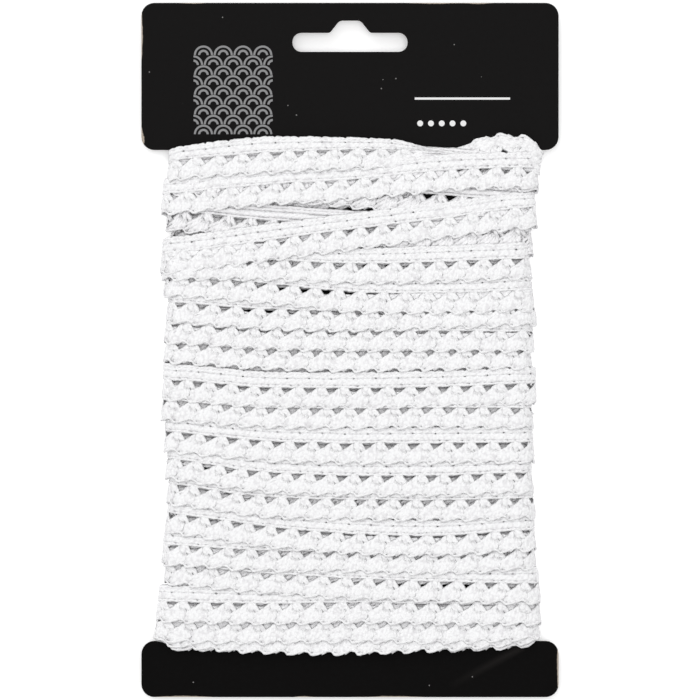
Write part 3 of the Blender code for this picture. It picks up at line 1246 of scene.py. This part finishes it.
@dataclass(frozen=True)
class Layer:
    """One layer of turns.

    Attributes:
        name: Start of its pieces' names.
        turns: Its turns from the head down.
        height: How far its eyelets lie over the card's faces, in mm.
        lace_thickness: Room that each turn needs over the next, in mm.
        inset: How far its middle lies inside the turn's reach at the card's edges, in mm.
        twisted: Whether its first turn is twisted at the right.
        detail: How finely its yarns are made.
        finish: How its yarn looks.
        groups: Number of turns in each piece.
        seed: Which unevenness its first piece gets.
    """

    name: str
    turns: tuple[Turn, ...]
    height: float
    lace_thickness: float
    inset: float
    twisted: bool
    detail: Detail
    finish: YarnFinish
    groups: tuple[int, ...]
    seed: float


OUTER = Layer(
    name="lace_turns",
    turns=OUTER_TURNS,
    height=2.3,
    lace_thickness=0.85,
    inset=0.5,
    twisted=True,
    detail=Detail.OUTER,
    finish=COTTON,
    groups=(4, 4, 4, 4, 3),
    seed=3.0,
)
UNDER = Layer(
    name="lace_below",
    turns=UNDER_TURNS,
    height=1.7,
    lace_thickness=0.0,
    inset=0.6,
    twisted=False,
    detail=Detail.UNDER,
    finish=UNDER_COTTON,
    groups=(10, 9),
    seed=31.0,
)
DEEPEST = Layer(
    name="lace_deepest",
    turns=DEEPEST_TURNS,
    height=0.5,
    lace_thickness=0.0,
    inset=0.6,
    twisted=False,
    detail=Detail.UNDER,
    finish=UNDER_COTTON,
    groups=(2,),
    seed=57.0,
)


@dataclass(frozen=True)
class Twist:
    """Where the first turn is turned over on itself, and where it turns back, in mm.

    Attributes:
        start: Where it begins to turn.
        neck: Where it is narrowest.
        end: Where it lies flat again, scallops up.
        narrow: Share of its width at the neck.
        flipped: Share of its width once it is turned over.
        gathered: Share of its width once it is drawn in round the card's edge.
        drawn_by: How far round the edge it is drawn in, in degrees.
        back_start: Where it begins to turn back, behind the card.
        back_length: How far across the back it has turned back.
        back_pinch: How much narrower it gets halfway through that.
    """

    start: float = 11.0
    neck: float = 25.0
    end: float = 43.0
    narrow: float = 0.38
    flipped: float = 1.06
    gathered: float = 0.62
    drawn_by: float = 80.0
    back_start: float = 20.0
    back_length: float = 30.0
    back_pinch: float = 0.5

    def width_on_front(self, x: float) -> float:
        """How wide the lace is on the front.

        Args:
            x: Place across the card, in mm.

        Returns:
            The share of its width.
        """
        if x < self.neck:
            narrowed = ease((x - self.start) / (self.neck - self.start))
            return 1.0 + (self.narrow - 1.0) * narrowed
        opened = ease((x - self.neck) / (self.end - self.neck))
        return self.narrow + (self.flipped - self.narrow) * opened

    def width_round_edge(self, angle: float) -> float:
        """Share of its width on the right edge, where the way out is at an angle in degrees."""
        drawn = ease((90.0 - angle) / self.drawn_by)
        return self.flipped + (self.gathered - self.flipped) * drawn

    def turned_back(self, x: float) -> float:
        """How far it has turned back at a place across the back, from 0 to 1."""
        return ease((self.back_start - x) / self.back_length)

    def width_on_back(self, turned: float) -> float:
        """Share of its width on the back, once it has turned back so far."""
        pinch = self.back_pinch * math.sin(math.pi * turned)
        return self.gathered + (1.0 - self.gathered) * turned - pinch


TWIST = Twist()


def across_stations(heights: Sequence[float], x: float) -> float:
    """A height at x, rounded off between the stations.

    Args:
        heights: Height at each station, in mm.
        x: Place across the front, in mm.

    Returns:
        The height in mm.
    """
    corners = [Vector((place, height, 0.0)) for place, height in zip(STATIONS, heights)]
    share = (min(max(x, STATIONS[0]), STATIONS[-1]) - STATIONS[0]) / (STATIONS[-1] - STATIONS[0])
    return through(corners, share).y


@dataclass(frozen=True)
class Waist:
    """The narrow middle of the card, on which the lace is wound, in mm.

    Attributes:
        head_low: Height of the head's lower edge at the waist's sides.
        foot_high: Height of the foot's upper edge.
        middle: Height of the board's own middle over the floor.
        half_board: Half the board's thickness.
    """

    head_low: float
    foot_high: float
    middle: float
    half_board: float

    @classmethod
    def of_card(cls, beside: float = 0.45, foot_share: float = 0.95, head_share: float = 0.8) -> "Waist":
        """Measure the waist on the CAD's card.

        Args:
            beside: Only corners nearer to the middle than this share of the width count.
            foot_share: Only corners above this share of the foot's end count.
            head_share: Only corners below this share of the head's end count.

        Returns:
            The waist.
        """
        low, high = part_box("card")
        across = beside * (high.x - low.x)
        corners = (vertex.co for vertex in frame["nodes"]["card"].data.vertices)
        levels = {round(corner.y / MM, 1) for corner in corners if abs(corner.x) < across}
        foot_end = low.y / MM * foot_share
        head_end = high.y / MM * head_share
        inner = [level for level in levels if foot_end < level < head_end]
        middle = (low.z + high.z) / 2.0 / MM
        return cls(max(inner), min(inner), middle, (high.z - low.z) / 2.0 / MM)


class Side(Enum):
    """Where on its way round the card a point of the lace's line lies."""

    START = "behind the card, where the lace begins"
    FRONT = "across the front"
    RIGHT = "round the right edge"
    BACK = "across the back"
    LEFT = "round the left edge"


@dataclass
class Route:
    """The line that a layer's lace follows round the card, turn after turn. Sizes are in mm.

    Attributes:
        layer: The layer that follows it.
        flat_half: Half the width in which the front and the back are flat.
        steps_across: Steps across the front or the back.
        steps_round: Steps round an edge.
        most_lift: How much further out than its layer a turn may be pushed by the next ones.
        tucked: How far the twisted turn lies under the next one, in thicknesses of lace.
        tucked_at: The stations at which it does.
        clearance: Least distance from the lace to the card's head and foot, at the sides.
        back_out: How much further out the turns lie on the back.
        start_in: How much further in the lace begins, under the turns.
        pressed: How much a place that stands on edge is pressed flat, as a share of its width.
        anchor_gap: Least distance from the flat part's ends to an eyelet that a turn is held by.
        points: The line's points.
        outs: The way out of the card at each point.
        spans: Roll, share of the width, tilt and share of the heading at each point.
        turn_of: Number of the turn that each point lies on.
    """

    layer: Layer
    flat_half: float = 46.0
    steps_across: int = 92
    steps_round: int = 14
    most_lift: float = 1.5
    tucked: float = 1.3
    tucked_at: tuple[int, ...] = (3, 4)
    clearance: float = 0.3
    back_out: float = 0.1
    start_in: float = 0.6
    pressed: float = 0.65
    anchor_gap: float = 0.5
    points: list[Vector] = field(default_factory=list)
    outs: list[Vector] = field(default_factory=list)
    spans: list[tuple[float, float, float, float]] = field(default_factory=list)
    turn_of: list[int] = field(default_factory=list)

    def __post_init__(self) -> None:
        """Work out the line."""
        self.waist = Waist.of_card()
        self.heights = self.stack()
        self.lay()

    def stack(self) -> list[list[float]]:
        """How far out each turn lies at each station, so that each clears the one below it.

        Returns:
            Heights of the eyelets over the card's face, in mm, for each turn and station.
        """
        thickness = self.layer.lace_thickness
        most = self.layer.height + self.most_lift
        heights = [[self.layer.height + turn.lift] * len(STATIONS) for turn in self.layer.turns]
        for index in range(len(heights) - 2, -1, -1):
            turn = self.layer.turns[index]
            below = self.layer.turns[index + 1]
            for station in range(len(STATIONS)):
                apart = turn.row[station] - below.row[station]
                if apart > PATTERN.width:
                    continue
                gained = apart * (turn.tilt + below.tilt) / 2.0
                needed = heights[index + 1][station] + thickness - gained
                heights[index][station] = min(max(heights[index][station], needed), most)
        if self.layer.twisted:
            for station in self.tucked_at:
                heights[0][station] = heights[1][station] - self.tucked * thickness
        return heights

    def side_level(self, turn: Turn, level: float, flipped: bool) -> float:
        """A height where the whole width fits between the card's head and foot.

        Args:
            turn: The turn.
            level: The height that it would have, in mm.
            flipped: Whether it is turned over.

        Returns:
            The height in mm.
        """
        above = PATTERN.heading_top * turn.heading[0] + self.clearance
        below = -PATTERN.scallop_low + self.clearance
        if flipped:
            above = -PATTERN.scallop_low * TWIST.gathered + self.clearance
        return min(max(level, self.waist.foot_high + below), self.waist.head_low - above)

    def roll(self, turn_index: int, side: Side, x: float, angle: float) -> tuple[float, float]:
        """How far the lace is turned over, and how wide it is, at a place on a turn.

        Args:
            turn_index: Number of the turn.
            side: Where on its way round the place lies.
            x: Place across the card, in mm.
            angle: Which way is out, in degrees from +X towards +Z.

        Returns:
            The roll in radians and the share of its width.
        """
        if not self.layer.twisted or turn_index != 0 or side in (Side.LEFT, Side.START):
            return 0.0, 1.0
        if side is Side.RIGHT:
            return math.pi, TWIST.width_round_edge(angle)
        if side is Side.BACK:
            back_share = TWIST.turned_back(x)
            return math.pi * (1.0 + back_share), TWIST.width_on_back(back_share)
        share = ease((x - TWIST.start) / (TWIST.end - TWIST.start))
        return math.pi * share, TWIST.width_on_front(x)

    def add(self, turn_index: int, side: Side, x: float, y: float, angle: float, out: float) -> None:
        """Add one point of the line.

        Args:
            turn_index: Number of the turn.
            side: Where on its way round the point lies.
            x: Place across the card, or which edge the lace goes round, in mm.
            y: Height in mm.
            angle: Which way is out, in degrees from +X towards +Z.
            out: How far the eyelets lie over the card's face, in mm.
        """
        turn = self.layer.turns[turn_index]
        radians = math.radians(angle)
        up = self.waist.half_board + out
        z = self.waist.middle + up * math.sin(radians)
        if side in (Side.RIGHT, Side.LEFT):
            reach = turn.right if side is Side.RIGHT else turn.left
            wide = reach - self.layer.inset - self.flat_half
            x = math.copysign(self.flat_half, x) + wide * math.cos(radians)
            normal = Vector((math.cos(radians) / wide, 0.0, math.sin(radians) / up)).normalized()
        else:
            normal = Vector((0.0, 0.0, math.sin(radians)))
        heading = turn.heading[0]
        if side is Side.FRONT:
            heading = across_stations(turn.heading, x)
        elif side in (Side.RIGHT, Side.BACK):
            heading = 1.0
        roll, width = self.roll(turn_index, side, x, angle)
        self.points.append(Vector((x, y, z)))
        self.outs.append(normal)
        self.spans.append((roll, width, turn.tilt, heading))
        self.turn_of.append(turn_index)

    def lay(self) -> None:
        """Lay the line: across the front, round the right, across the back, round the left."""
        turns = self.layer.turns
        self.start_behind(turns[0])
        for index, turn in enumerate(turns):
            after = turns[min(index + 1, len(turns) - 1)]
            flipped = self.layer.twisted and index == 0
            height = self.heights[index]
            for n in range(self.steps_across + 1):
                x = self.flat_half * (2.0 * n / self.steps_across - 1.0)
                y = across_stations(turn.row, x)
                self.add(index, Side.FRONT, x, y, 90.0, across_stations(height, x))
            y_front = across_stations(turn.row, self.flat_half)
            y_side = self.side_level(turn, turn.row[-1], flipped)
            back = self.layer.height + self.back_out
            y_left = self.side_level(after, after.row[0], False)
            for n in range(1, self.steps_round):
                share = n / self.steps_round
                y = y_front + (y_side - y_front) * ease(2.0 * share)
                out = height[-1] + (back - height[-1]) * ease(share)
                self.add(index, Side.RIGHT, 1.0, y, 90.0 - 180.0 * share, out)
            for n in range(self.steps_across + 1):
                share = n / self.steps_across
                x = self.flat_half * (1.0 - 2.0 * share)
                y = y_side + (y_left - y_side) * ease(share)
                self.add(index, Side.BACK, x, y, -90.0, back)
            if index < len(turns) - 1:
                self.round_left(index + 1, y_left, back)

    def round_left(self, turn_index: int, y_left: float, back: float) -> None:
        """Come round the left edge from the back to the front of a turn.

        Args:
            turn_index: Number of the turn.
            y_left: Height at which the lace comes to the edge, in mm.
            back: How far it lies over the card's face there, in mm.
        """
        y_front = across_stations(self.layer.turns[turn_index].row, -self.flat_half)
        for n in range(1, self.steps_round):
            share = n / self.steps_round
            y = y_left + (y_front - y_left) * ease(2.0 * share - 1.0)
            out = back + (self.heights[turn_index][0] - back) * ease(share)
            self.add(turn_index, Side.LEFT, -1.0, y, 270.0 - 180.0 * share, out)

    def start_behind(self, turn: Turn) -> None:
        """Begin behind the card, so that no cut end shows at the front.

        Args:
            turn: The first turn.
        """
        y_left = self.side_level(turn, turn.row[0], False)
        back = self.layer.height - self.start_in
        for n in range(self.steps_across // 2):
            x = -self.flat_half * 2.0 * n / self.steps_across
            self.add(0, Side.START, x, y_left, -90.0, back)
        self.round_left(0, y_left, back)

    def held_eyelets(self, turn: Turn) -> tuple[float, float, int]:
        """The two eyelets that hold a turn's repeats in place, on the flat part of the front.

        Args:
            turn: The turn.

        Returns:
            Places of the two eyelets in mm, and how many repeats lie between them.
        """
        pitch = (turn.last - turn.first) / turn.repeats
        first, last, count = turn.first, turn.last, turn.repeats
        while first < -self.flat_half + self.anchor_gap:
            first += pitch
            count -= 1
        while last > self.flat_half - self.anchor_gap:
            last -= pitch
            count -= 1
        return first, last, count

    def repeats_along(self) -> np.ndarray:
        """How many repeats lie between the line's start and each of its points.

        Returns:
            One number for each point.
        """
        points = np.array([tuple(point) for point in self.points])
        steps = np.linalg.norm(np.diff(points, axis=0), axis=1)
        length = np.concatenate([[0.0], np.cumsum(steps)])
        on_front = np.array([out.z for out in self.outs]) > 0.999
        on_front &= np.abs(points[:, 0]) <= self.flat_half + 0.01
        held_length: list[float] = []
        held_repeat: list[float] = []
        repeat = 0.0
        for index, turn in enumerate(self.layer.turns):
            front = np.flatnonzero((np.array(self.turn_of) == index) & on_front)
            first, last, count = self.held_eyelets(turn)
            at_first = float(np.interp(first, points[front, 0], length[front]))
            at_last = float(np.interp(last, points[front, 0], length[front]))
            if held_length:
                repeat += round((at_first - held_length[-1]) / PATTERN.pitch)
            else:
                repeat = float(math.floor(at_first / PATTERN.pitch))
            held_length += [at_first, at_last]
            held_repeat += [repeat, repeat + count]
            repeat += count
        before = held_length[0] / PATTERN.pitch
        after = (length[-1] - held_length[-1]) / PATTERN.pitch
        held_length = [0.0, *held_length, float(length[-1])]
        held_repeat = [held_repeat[0] - before, *held_repeat, held_repeat[-1] + after]
        return np.interp(length, held_length, held_repeat)

    def frames(self) -> tuple[np.ndarray, np.ndarray, np.ndarray]:
        """The line with the ways up and out across the lace at each point.

        Returns:
            Points, vectors up the lace for each mm of its width, and unit vectors out of it.
        """
        points = np.array([tuple(point) for point in self.points])
        outs = np.array([tuple(out) for out in self.outs])
        ahead = np.gradient(points, axis=0)
        ahead /= np.linalg.norm(ahead, axis=1)[:, None]
        outs -= ahead * (outs * ahead).sum(1)[:, None]
        outs /= np.linalg.norm(outs, axis=1)[:, None]
        ups = np.cross(outs, ahead)
        roll, width, tilt, _ = np.array(self.spans).T
        lean = np.arctan(tilt * np.cos(roll)) - roll
        flattened = 1.0 - self.pressed * np.abs(np.sin(roll))
        up = ups * np.cos(lean)[:, None] - outs * (np.sin(lean) * flattened)[:, None]
        out = outs * np.cos(lean)[:, None] + ups * np.sin(lean)[:, None]
        return points, up * width[:, None], out / np.linalg.norm(out, axis=1)[:, None]

    def resampled(self) -> dict[str, np.ndarray]:
        """The line cut into equal steps, a whole number to each repeat.

        Returns:
            Places in mm, ways up, ways out, and the share of the heading that shows.
        """
        along = self.repeats_along()
        points, ups, outs = self.frames()
        start = math.ceil(along[0])
        end = math.floor(along[-1])
        at = start + np.arange((end - start) * STEPS_PER_REPEAT + 1) / STEPS_PER_REPEAT
        heading = np.array(self.spans)[:, 3:] * np.array([[1.0, 0.0, 0.0]])
        return {
            name: np.stack([np.interp(at, along, values[:, axis]) for axis in range(3)], axis=1)
            for name, values in (("place", points), ("up", ups), ("out", outs), ("curl", heading))
        }


# ---------------------------------------------------------------- bending the strip


def group_input(tree: bpy.types.NodeTree, name: str, kind: str, value: Any = None) -> str:
    """Add an input to a node group.

    Args:
        tree: The group.
        name: The input's name.
        kind: Its socket type.
        value: Its starting value.

    Returns:
        The socket's identifier.
    """
    socket = tree.interface.new_socket(name, in_out="INPUT", socket_type=kind)
    if value is not None:
        socket.default_value = value
    return socket.identifier


@dataclass
class WoundStrip:
    """Geometry Nodes that repeat the lace along a strip and bend it along a route.

    Attributes:
        unevenness: How far a place on a yarn may wander, in metres.
        join: How near each other the ends of two repeats have to be to be joined, in metres.
        slow_along: How fast the slow wander changes for each repeat.
        slow_across: How fast it changes for each metre across the lace.
        fine: How fast the fine wander changes for each metre along, across and out of the lace.
        lowest: Least height of the lace over the floor, in metres.
    """

    unevenness: float = 0.45 * MM
    join: float = 0.01 * MM
    slow_along: float = 0.9
    slow_across: float = 220.0
    fine: tuple[float, float, float] = (700.0, 900.0, 700.0)
    lowest: float = 0.03 * MM

    def __post_init__(self) -> None:
        """Build the node group."""
        tree = bpy.data.node_groups.new("wound_strip", "GeometryNodeTree")
        self.tree = tree
        self.ids = {
            "route": group_input(tree, "Route", "NodeSocketGeometry"),
            "repeat": group_input(tree, "Repeat", "NodeSocketObject"),
            "count": group_input(tree, "Repeats", "NodeSocketInt", 10),
            "pitch": group_input(tree, "Pitch", "NodeSocketFloat", PATTERN.pitch * MM),
            "steps": group_input(tree, "Steps per repeat", "NodeSocketInt", STEPS_PER_REPEAT),
            "uneven": group_input(tree, "Unevenness", "NodeSocketFloat", self.unevenness),
            "seed": group_input(tree, "Seed", "NodeSocketFloat", 3.0),
            "yarn": group_input(tree, "Yarn", "NodeSocketMaterial"),
        }
        tree.interface.new_socket("Lace", in_out="OUTPUT", socket_type="NodeSocketGeometry")
        given = add_node(tree, "NodeGroupInput").node.outputs
        bent = self.bend(given, self.strip(given))
        dressed = {"Geometry": bent, "Material": given["Yarn"]}
        lace = add_node(tree, "GeometryNodeSetMaterial", named=dressed)
        add_node(tree, "NodeGroupOutput", lace)

    def strip(self, given: Any) -> bpy.types.NodeSocket:
        """The straight strip, with neighbouring repeats joined.

        Args:
            given: The group's inputs.

        Returns:
            The strip's mesh.
        """
        tree = self.tree
        offset = add_node(tree, COMBINE, given["Pitch"])
        ends = {"Count": given["Repeats"], "Offset": offset, "Start Location": (0.0, 0.0, 0.0)}
        line = add_node(tree, "GeometryNodeMeshLine", named=ends, mode="OFFSET")
        shown = {"Object": given["Repeat"]}
        shape = add_node(tree, "GeometryNodeObjectInfo", named=shown, out="Geometry")
        row = {"Points": line, "Instance": shape}
        placed = add_node(tree, "GeometryNodeInstanceOnPoints", named=row)
        real = add_node(tree, "GeometryNodeRealizeInstances", placed)
        touching = {"Geometry": real, "Distance": self.join}
        return add_node(tree, "GeometryNodeMergeByDistance", named=touching)

    def sampled(
        self, route: bpy.types.NodeSocket, value: bpy.types.NodeSocket, index: Any, share: Any
    ) -> bpy.types.NodeSocket:
        """A vector read off the route between two of its points.

        Args:
            route: The route's points.
            value: The field to read.
            index: The point before.
            share: How far towards the next point.

        Returns:
            The vector.
        """
        tree = self.tree
        ends = []
        for number in (index, add_node(tree, MATH, index, 1.0, operation="ADD")):
            read = {"Geometry": route, "Value": value, "Index": number}
            end = add_node(
                tree,
                "GeometryNodeSampleIndex",
                named=read,
                data_type="FLOAT_VECTOR",
                domain="POINT",
                clamp=True,
            )
            ends.append(end)
        between = {"Factor": share, FIRST_VECTOR: ends[0], SECOND_VECTOR: ends[1]}
        return add_node(tree, MIX, named=between, out=MIXED_VECTOR, data_type="VECTOR")

    def wander(self, given: Any, place: bpy.types.NodeSocket, repeats: Any) -> bpy.types.NodeSocket:
        """The unevenness of hand-guided yarn: slow along the lace, and fine from yarn to yarn.

        Args:
            given: The group's inputs.
            place: Place on the straight strip.
            repeats: The same along the lace, in repeats.

        Returns:
            How far a place is moved.
        """
        tree = self.tree
        level = add_node(tree, SPLIT, place).node.outputs[1]
        along = add_node(tree, MATH, repeats, self.slow_along, operation="MULTIPLY")
        across = add_node(tree, MATH, level, self.slow_across, operation="MULTIPLY")
        spot = add_node(tree, COMBINE, along, across, given["Seed"])
        slow = {"Vector": spot, "Scale": 1.0, "Detail": 1.0}
        slow_wander = add_node(tree, NOISE, named=slow, out="Color")
        spread = add_node(tree, VECTOR, place, self.fine, operation="MULTIPLY")
        fine_spot = add_node(tree, VECTOR, spread, spot, operation="ADD")
        fine = {"Vector": fine_spot, "Scale": 1.0, "Detail": 0.0}
        fine_wander = add_node(tree, NOISE, named=fine, out="Color")
        both = add_node(tree, VECTOR, slow_wander, fine_wander, operation="ADD")
        either_way = add_node(tree, VECTOR, both, (1.0, 1.0, 1.0), operation="SUBTRACT")
        size = {"Scale": given["Unevenness"]}
        return add_node(tree, VECTOR, either_way, named=size, operation="SCALE")

    def bend(self, given: Any, strip: bpy.types.NodeSocket) -> bpy.types.NodeSocket:
        """Move each point of the strip to its place along the route.

        Args:
            given: The group's inputs.
            strip: The straight strip.

        Returns:
            The bent strip.
        """
        tree = self.tree
        place = add_node(tree, "GeometryNodeInputPosition")
        x, y, z = add_node(tree, SPLIT, place).node.outputs
        past = add_node(tree, MATH, x, given["Pitch"], operation="DIVIDE")
        # Its part of the route begins one repeat before the strip does
        repeats = add_node(tree, MATH, past, 1.0, operation="ADD")
        steps = add_node(tree, MATH, repeats, given["Steps per repeat"], operation="MULTIPLY")
        index = add_node(tree, MATH, steps, operation="FLOOR")
        share = add_node(tree, MATH, steps, index, operation="SUBTRACT")
        read = "GeometryNodeInputNamedAttribute"
        fields = [place] + [
            add_node(tree, read, named={"Name": name}, data_type="FLOAT_VECTOR")
            for name in ("up", "out", "curl")
        ]
        point, up, out, curl = (self.sampled(given["Route"], f, index, share) for f in fields)
        shown = add_node(tree, SPLIT, curl)
        in_heading = add_node(tree, MATH, y, 0.0, operation="MAXIMUM")
        in_shells = add_node(tree, MATH, y, 0.0, operation="MINIMUM")
        heading = add_node(tree, MATH, in_heading, shown, operation="MULTIPLY")
        level = add_node(tree, MATH, in_shells, heading, operation="ADD")
        across = add_node(tree, VECTOR, up, named={"Scale": level}, operation="SCALE")
        above = add_node(tree, VECTOR, out, named={"Scale": z}, operation="SCALE")
        on_route = add_node(tree, VECTOR, point, across, operation="ADD")
        on_lace = add_node(tree, VECTOR, on_route, above, operation="ADD")
        wander = self.wander(given, place, repeats)
        moved = add_node(tree, VECTOR, on_lace, wander, operation="ADD")
        floor = (-1.0, -1.0, self.lowest)
        pressed = add_node(tree, VECTOR, moved, floor, operation="MAXIMUM")
        bent = {"Geometry": strip, "Position": pressed}
        return add_node(tree, "GeometryNodeSetPosition", named=bent)

    def make(
        self,
        name: str,
        route: dict[str, np.ndarray],
        repeat: bpy.types.Object,
        yarn: bpy.types.Material,
        seed: float,
    ) -> bpy.types.Object:
        """Make one piece of wound lace.

        Args:
            name: The piece's name.
            route: Its part of the route, from a repeat before it to one after.
            repeat: One repeat of the lace.
            yarn: The yarn's material.
            seed: Which unevenness it gets.

        Returns:
            The piece, as a plain mesh.
        """
        points = route["place"]
        mesh = bpy.data.meshes.new(name + "_route")
        mesh.from_pydata([tuple(point) for point in points * MM], [], [])
        for label in ("up", "out", "curl"):
            attribute = mesh.attributes.new(label, "FLOAT_VECTOR", "POINT")
            attribute.data.foreach_set("vector", route[label].astype(np.float32).ravel())
        line = bpy.data.objects.new(name + "_route", mesh)
        bpy.context.scene.collection.objects.link(line)
        modifier = line.modifiers.new("lace", "NODES")
        modifier.node_group = self.tree
        modifier[self.ids["repeat"]] = repeat
        modifier[self.ids["count"]] = (len(points) - 1) // STEPS_PER_REPEAT - 2
        modifier[self.ids["seed"]] = seed
        modifier[self.ids["yarn"]] = yarn
        bpy.context.view_layer.update()
        depsgraph = bpy.context.evaluated_depsgraph_get()
        made = bpy.data.meshes.new_from_object(line.evaluated_get(depsgraph))
        line.modifiers.remove(modifier)
        bpy.data.objects.remove(line, do_unlink=True)
        made.name = name
        close_ends(made)
        piece = bpy.data.objects.new(name, made)
        bpy.context.scene.collection.objects.link(piece)
        return piece


def close_ends(mesh: bpy.types.Mesh) -> None:
    """Close the cut ends of the yarns.

    Args:
        mesh: The lace.
    """
    work = bmesh.new()
    work.from_mesh(mesh)
    open_edges = [edge for edge in work.edges if edge.is_boundary]
    bmesh.ops.holes_fill(work, edges=open_edges, sides=Detail.OUTER.sides)
    work.to_mesh(mesh)
    work.free()


@dataclass
class LaceWinding:
    """All the lace that is wound on the card.

    Attributes:
        layers: Its layers, from the front.
        pieces: Its pieces, once they are made.
    """

    layers: tuple[Layer, ...] = (OUTER, UNDER, DEEPEST)
    pieces: list[bpy.types.Object] = field(default_factory=list)

    def __post_init__(self) -> None:
        """Build the strip's node group."""
        self.strip = WoundStrip()

    def make_layer(self, layer: Layer) -> None:
        """Make the pieces of one layer.

        Args:
            layer: The layer.
        """
        repeat = LaceRepeat(layer.name + "_repeat", layer.detail).make()
        yarn = layer.finish.material()
        route = Route(layer).resampled()
        total = (len(route["place"]) - 1) // STEPS_PER_REPEAT
        turns = sum(layer.groups)
        done = 0
        start = 0
        for number, group in enumerate(layer.groups):
            done += group
            end = total if number == len(layer.groups) - 1 else round(total * done / turns)
            first = max(start - 1, 0)
            last = min(end + 1, total)
            window = slice(first * STEPS_PER_REPEAT, last * STEPS_PER_REPEAT + 1)
            part = {label: values[window] for label, values in route.items()}
            name = f"{layer.name}_{number + 1}"
            piece = self.strip.make(name, part, repeat, yarn, layer.seed + number)
            self.declare(piece)
            self.pieces.append(piece)
            start = end
        bpy.data.objects.remove(repeat, do_unlink=True)

    def declare(self, piece: bpy.types.Object) -> None:
        """Attach a piece to the card's body, and hide the CAD's plain sleeve.

        Args:
            piece: The piece.
        """
        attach(piece, "root")
        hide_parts("lace_winding")

    def make(self) -> list[bpy.types.Object]:
        """Make every layer.

        Returns:
            The pieces.
        """
        for layer in self.layers:
            self.make_layer(layer)
        return self.pieces


# ---------------------------------------------------------------- card, floor, light, camera


@dataclass
class HangCard:
    """The printed board, as the CAD has it.

    Attributes:
        finish: How it looks.
    """

    finish: BoardFinish = BoardFinish()

    def make(self) -> bpy.types.Object:
        """Give the card its finish.

        Returns:
            The card.
        """
        card = frame["nodes"]["card"]
        card.data.materials.clear()
        card.data.materials.append(self.finish.material())
        return card


@dataclass(frozen=True)
class Lamp:
    """A soft square light that faces the card.

    Attributes:
        name: Its name.
        place: Where it is, in metres.
        size: Its width in metres.
        power: Its power in watts.
    """

    name: str
    place: tuple[float, float, float]
    size: float
    power: float

    def hang(self) -> None:
        """Put the light in its place."""
        data = bpy.data.lights.new(self.name, "AREA")
        data.size = self.size
        data.energy = self.power
        lamp = bpy.data.objects.new(self.name, data)
        lamp.location = self.place
        lamp.rotation_euler = Vector(self.place).to_track_quat("Z", "Y").to_euler()
        bpy.context.scene.collection.objects.link(lamp)


@dataclass
class Studio:
    """A white floor, soft light from above and a camera that looks straight down.

    Attributes:
        view_width: Width of the picture at the card's face, in metres.
        distance: Height of the camera over the card's face, in metres.
        sensor: Width of the camera's sensor, in mm.
        floor_size: Width of the floor, in metres.
        floor_finish: How the floor looks.
        lamps: The lights.
        daylight: Strength of the light that comes from all round.
    """

    view_width: float = 194.6 * MM
    distance: float = 1.2
    sensor: float = 36.0
    floor_size: float = 6.0
    floor_finish: FloorFinish = FloorFinish()
    lamps: tuple[Lamp, ...] = (
        Lamp("window", (-0.5, 1.1, 1.3), 1.4, 9.5),
        Lamp("overhead", (0.1, 0.0, 1.8), 1.1, 13.0),
    )
    daylight: float = 0.52

    def lay_floor(self) -> None:
        """Lay the floor that the object lies on."""
        bpy.ops.mesh.primitive_plane_add(size=self.floor_size, location=(0.0, 0.0, 0.0))
        floor = bpy.context.object
        floor.name = "floor"
        floor.data.materials.append(self.floor_finish.material())

    def light(self) -> None:
        """Hang the lamps, fill in from all round and keep the picture's whites plain."""
        for lamp in self.lamps:
            lamp.hang()
        world = bpy.data.worlds.new("studio")
        world.use_nodes = True
        back = world.node_tree.nodes["Background"]
        back.inputs["Color"].default_value = (1.0, 1.0, 1.0, 1.0)
        back.inputs["Strength"].default_value = self.daylight
        bpy.context.scene.world = world
        bpy.context.scene.view_settings.view_transform = "Standard"

    def hang_camera(self) -> None:
        """Hang the camera straight above the middle of the card."""
        _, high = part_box("card")
        data = bpy.data.cameras.new("camera")
        data.sensor_width = self.sensor
        data.lens = self.sensor * self.distance / self.view_width
        data.clip_start = 0.05
        data.clip_end = 20.0
        camera = bpy.data.objects.new("camera", data)
        camera.location = (0.0, 0.0, high.z + self.distance)
        bpy.context.scene.collection.objects.link(camera)
        bpy.context.scene.camera = camera

    def make(self) -> None:
        """Set everything up."""
        self.lay_floor()
        self.light()
        self.hang_camera()


def main() -> None:
    """Build the looks and report each piece."""
    pieces = [HangCard().make(), *LaceWinding().make()]
    Studio().make()
    for piece in pieces:
        log.info("%s: %d faces", piece.name, len(piece.data.polygons))


if __name__ == "__main__":
    main()
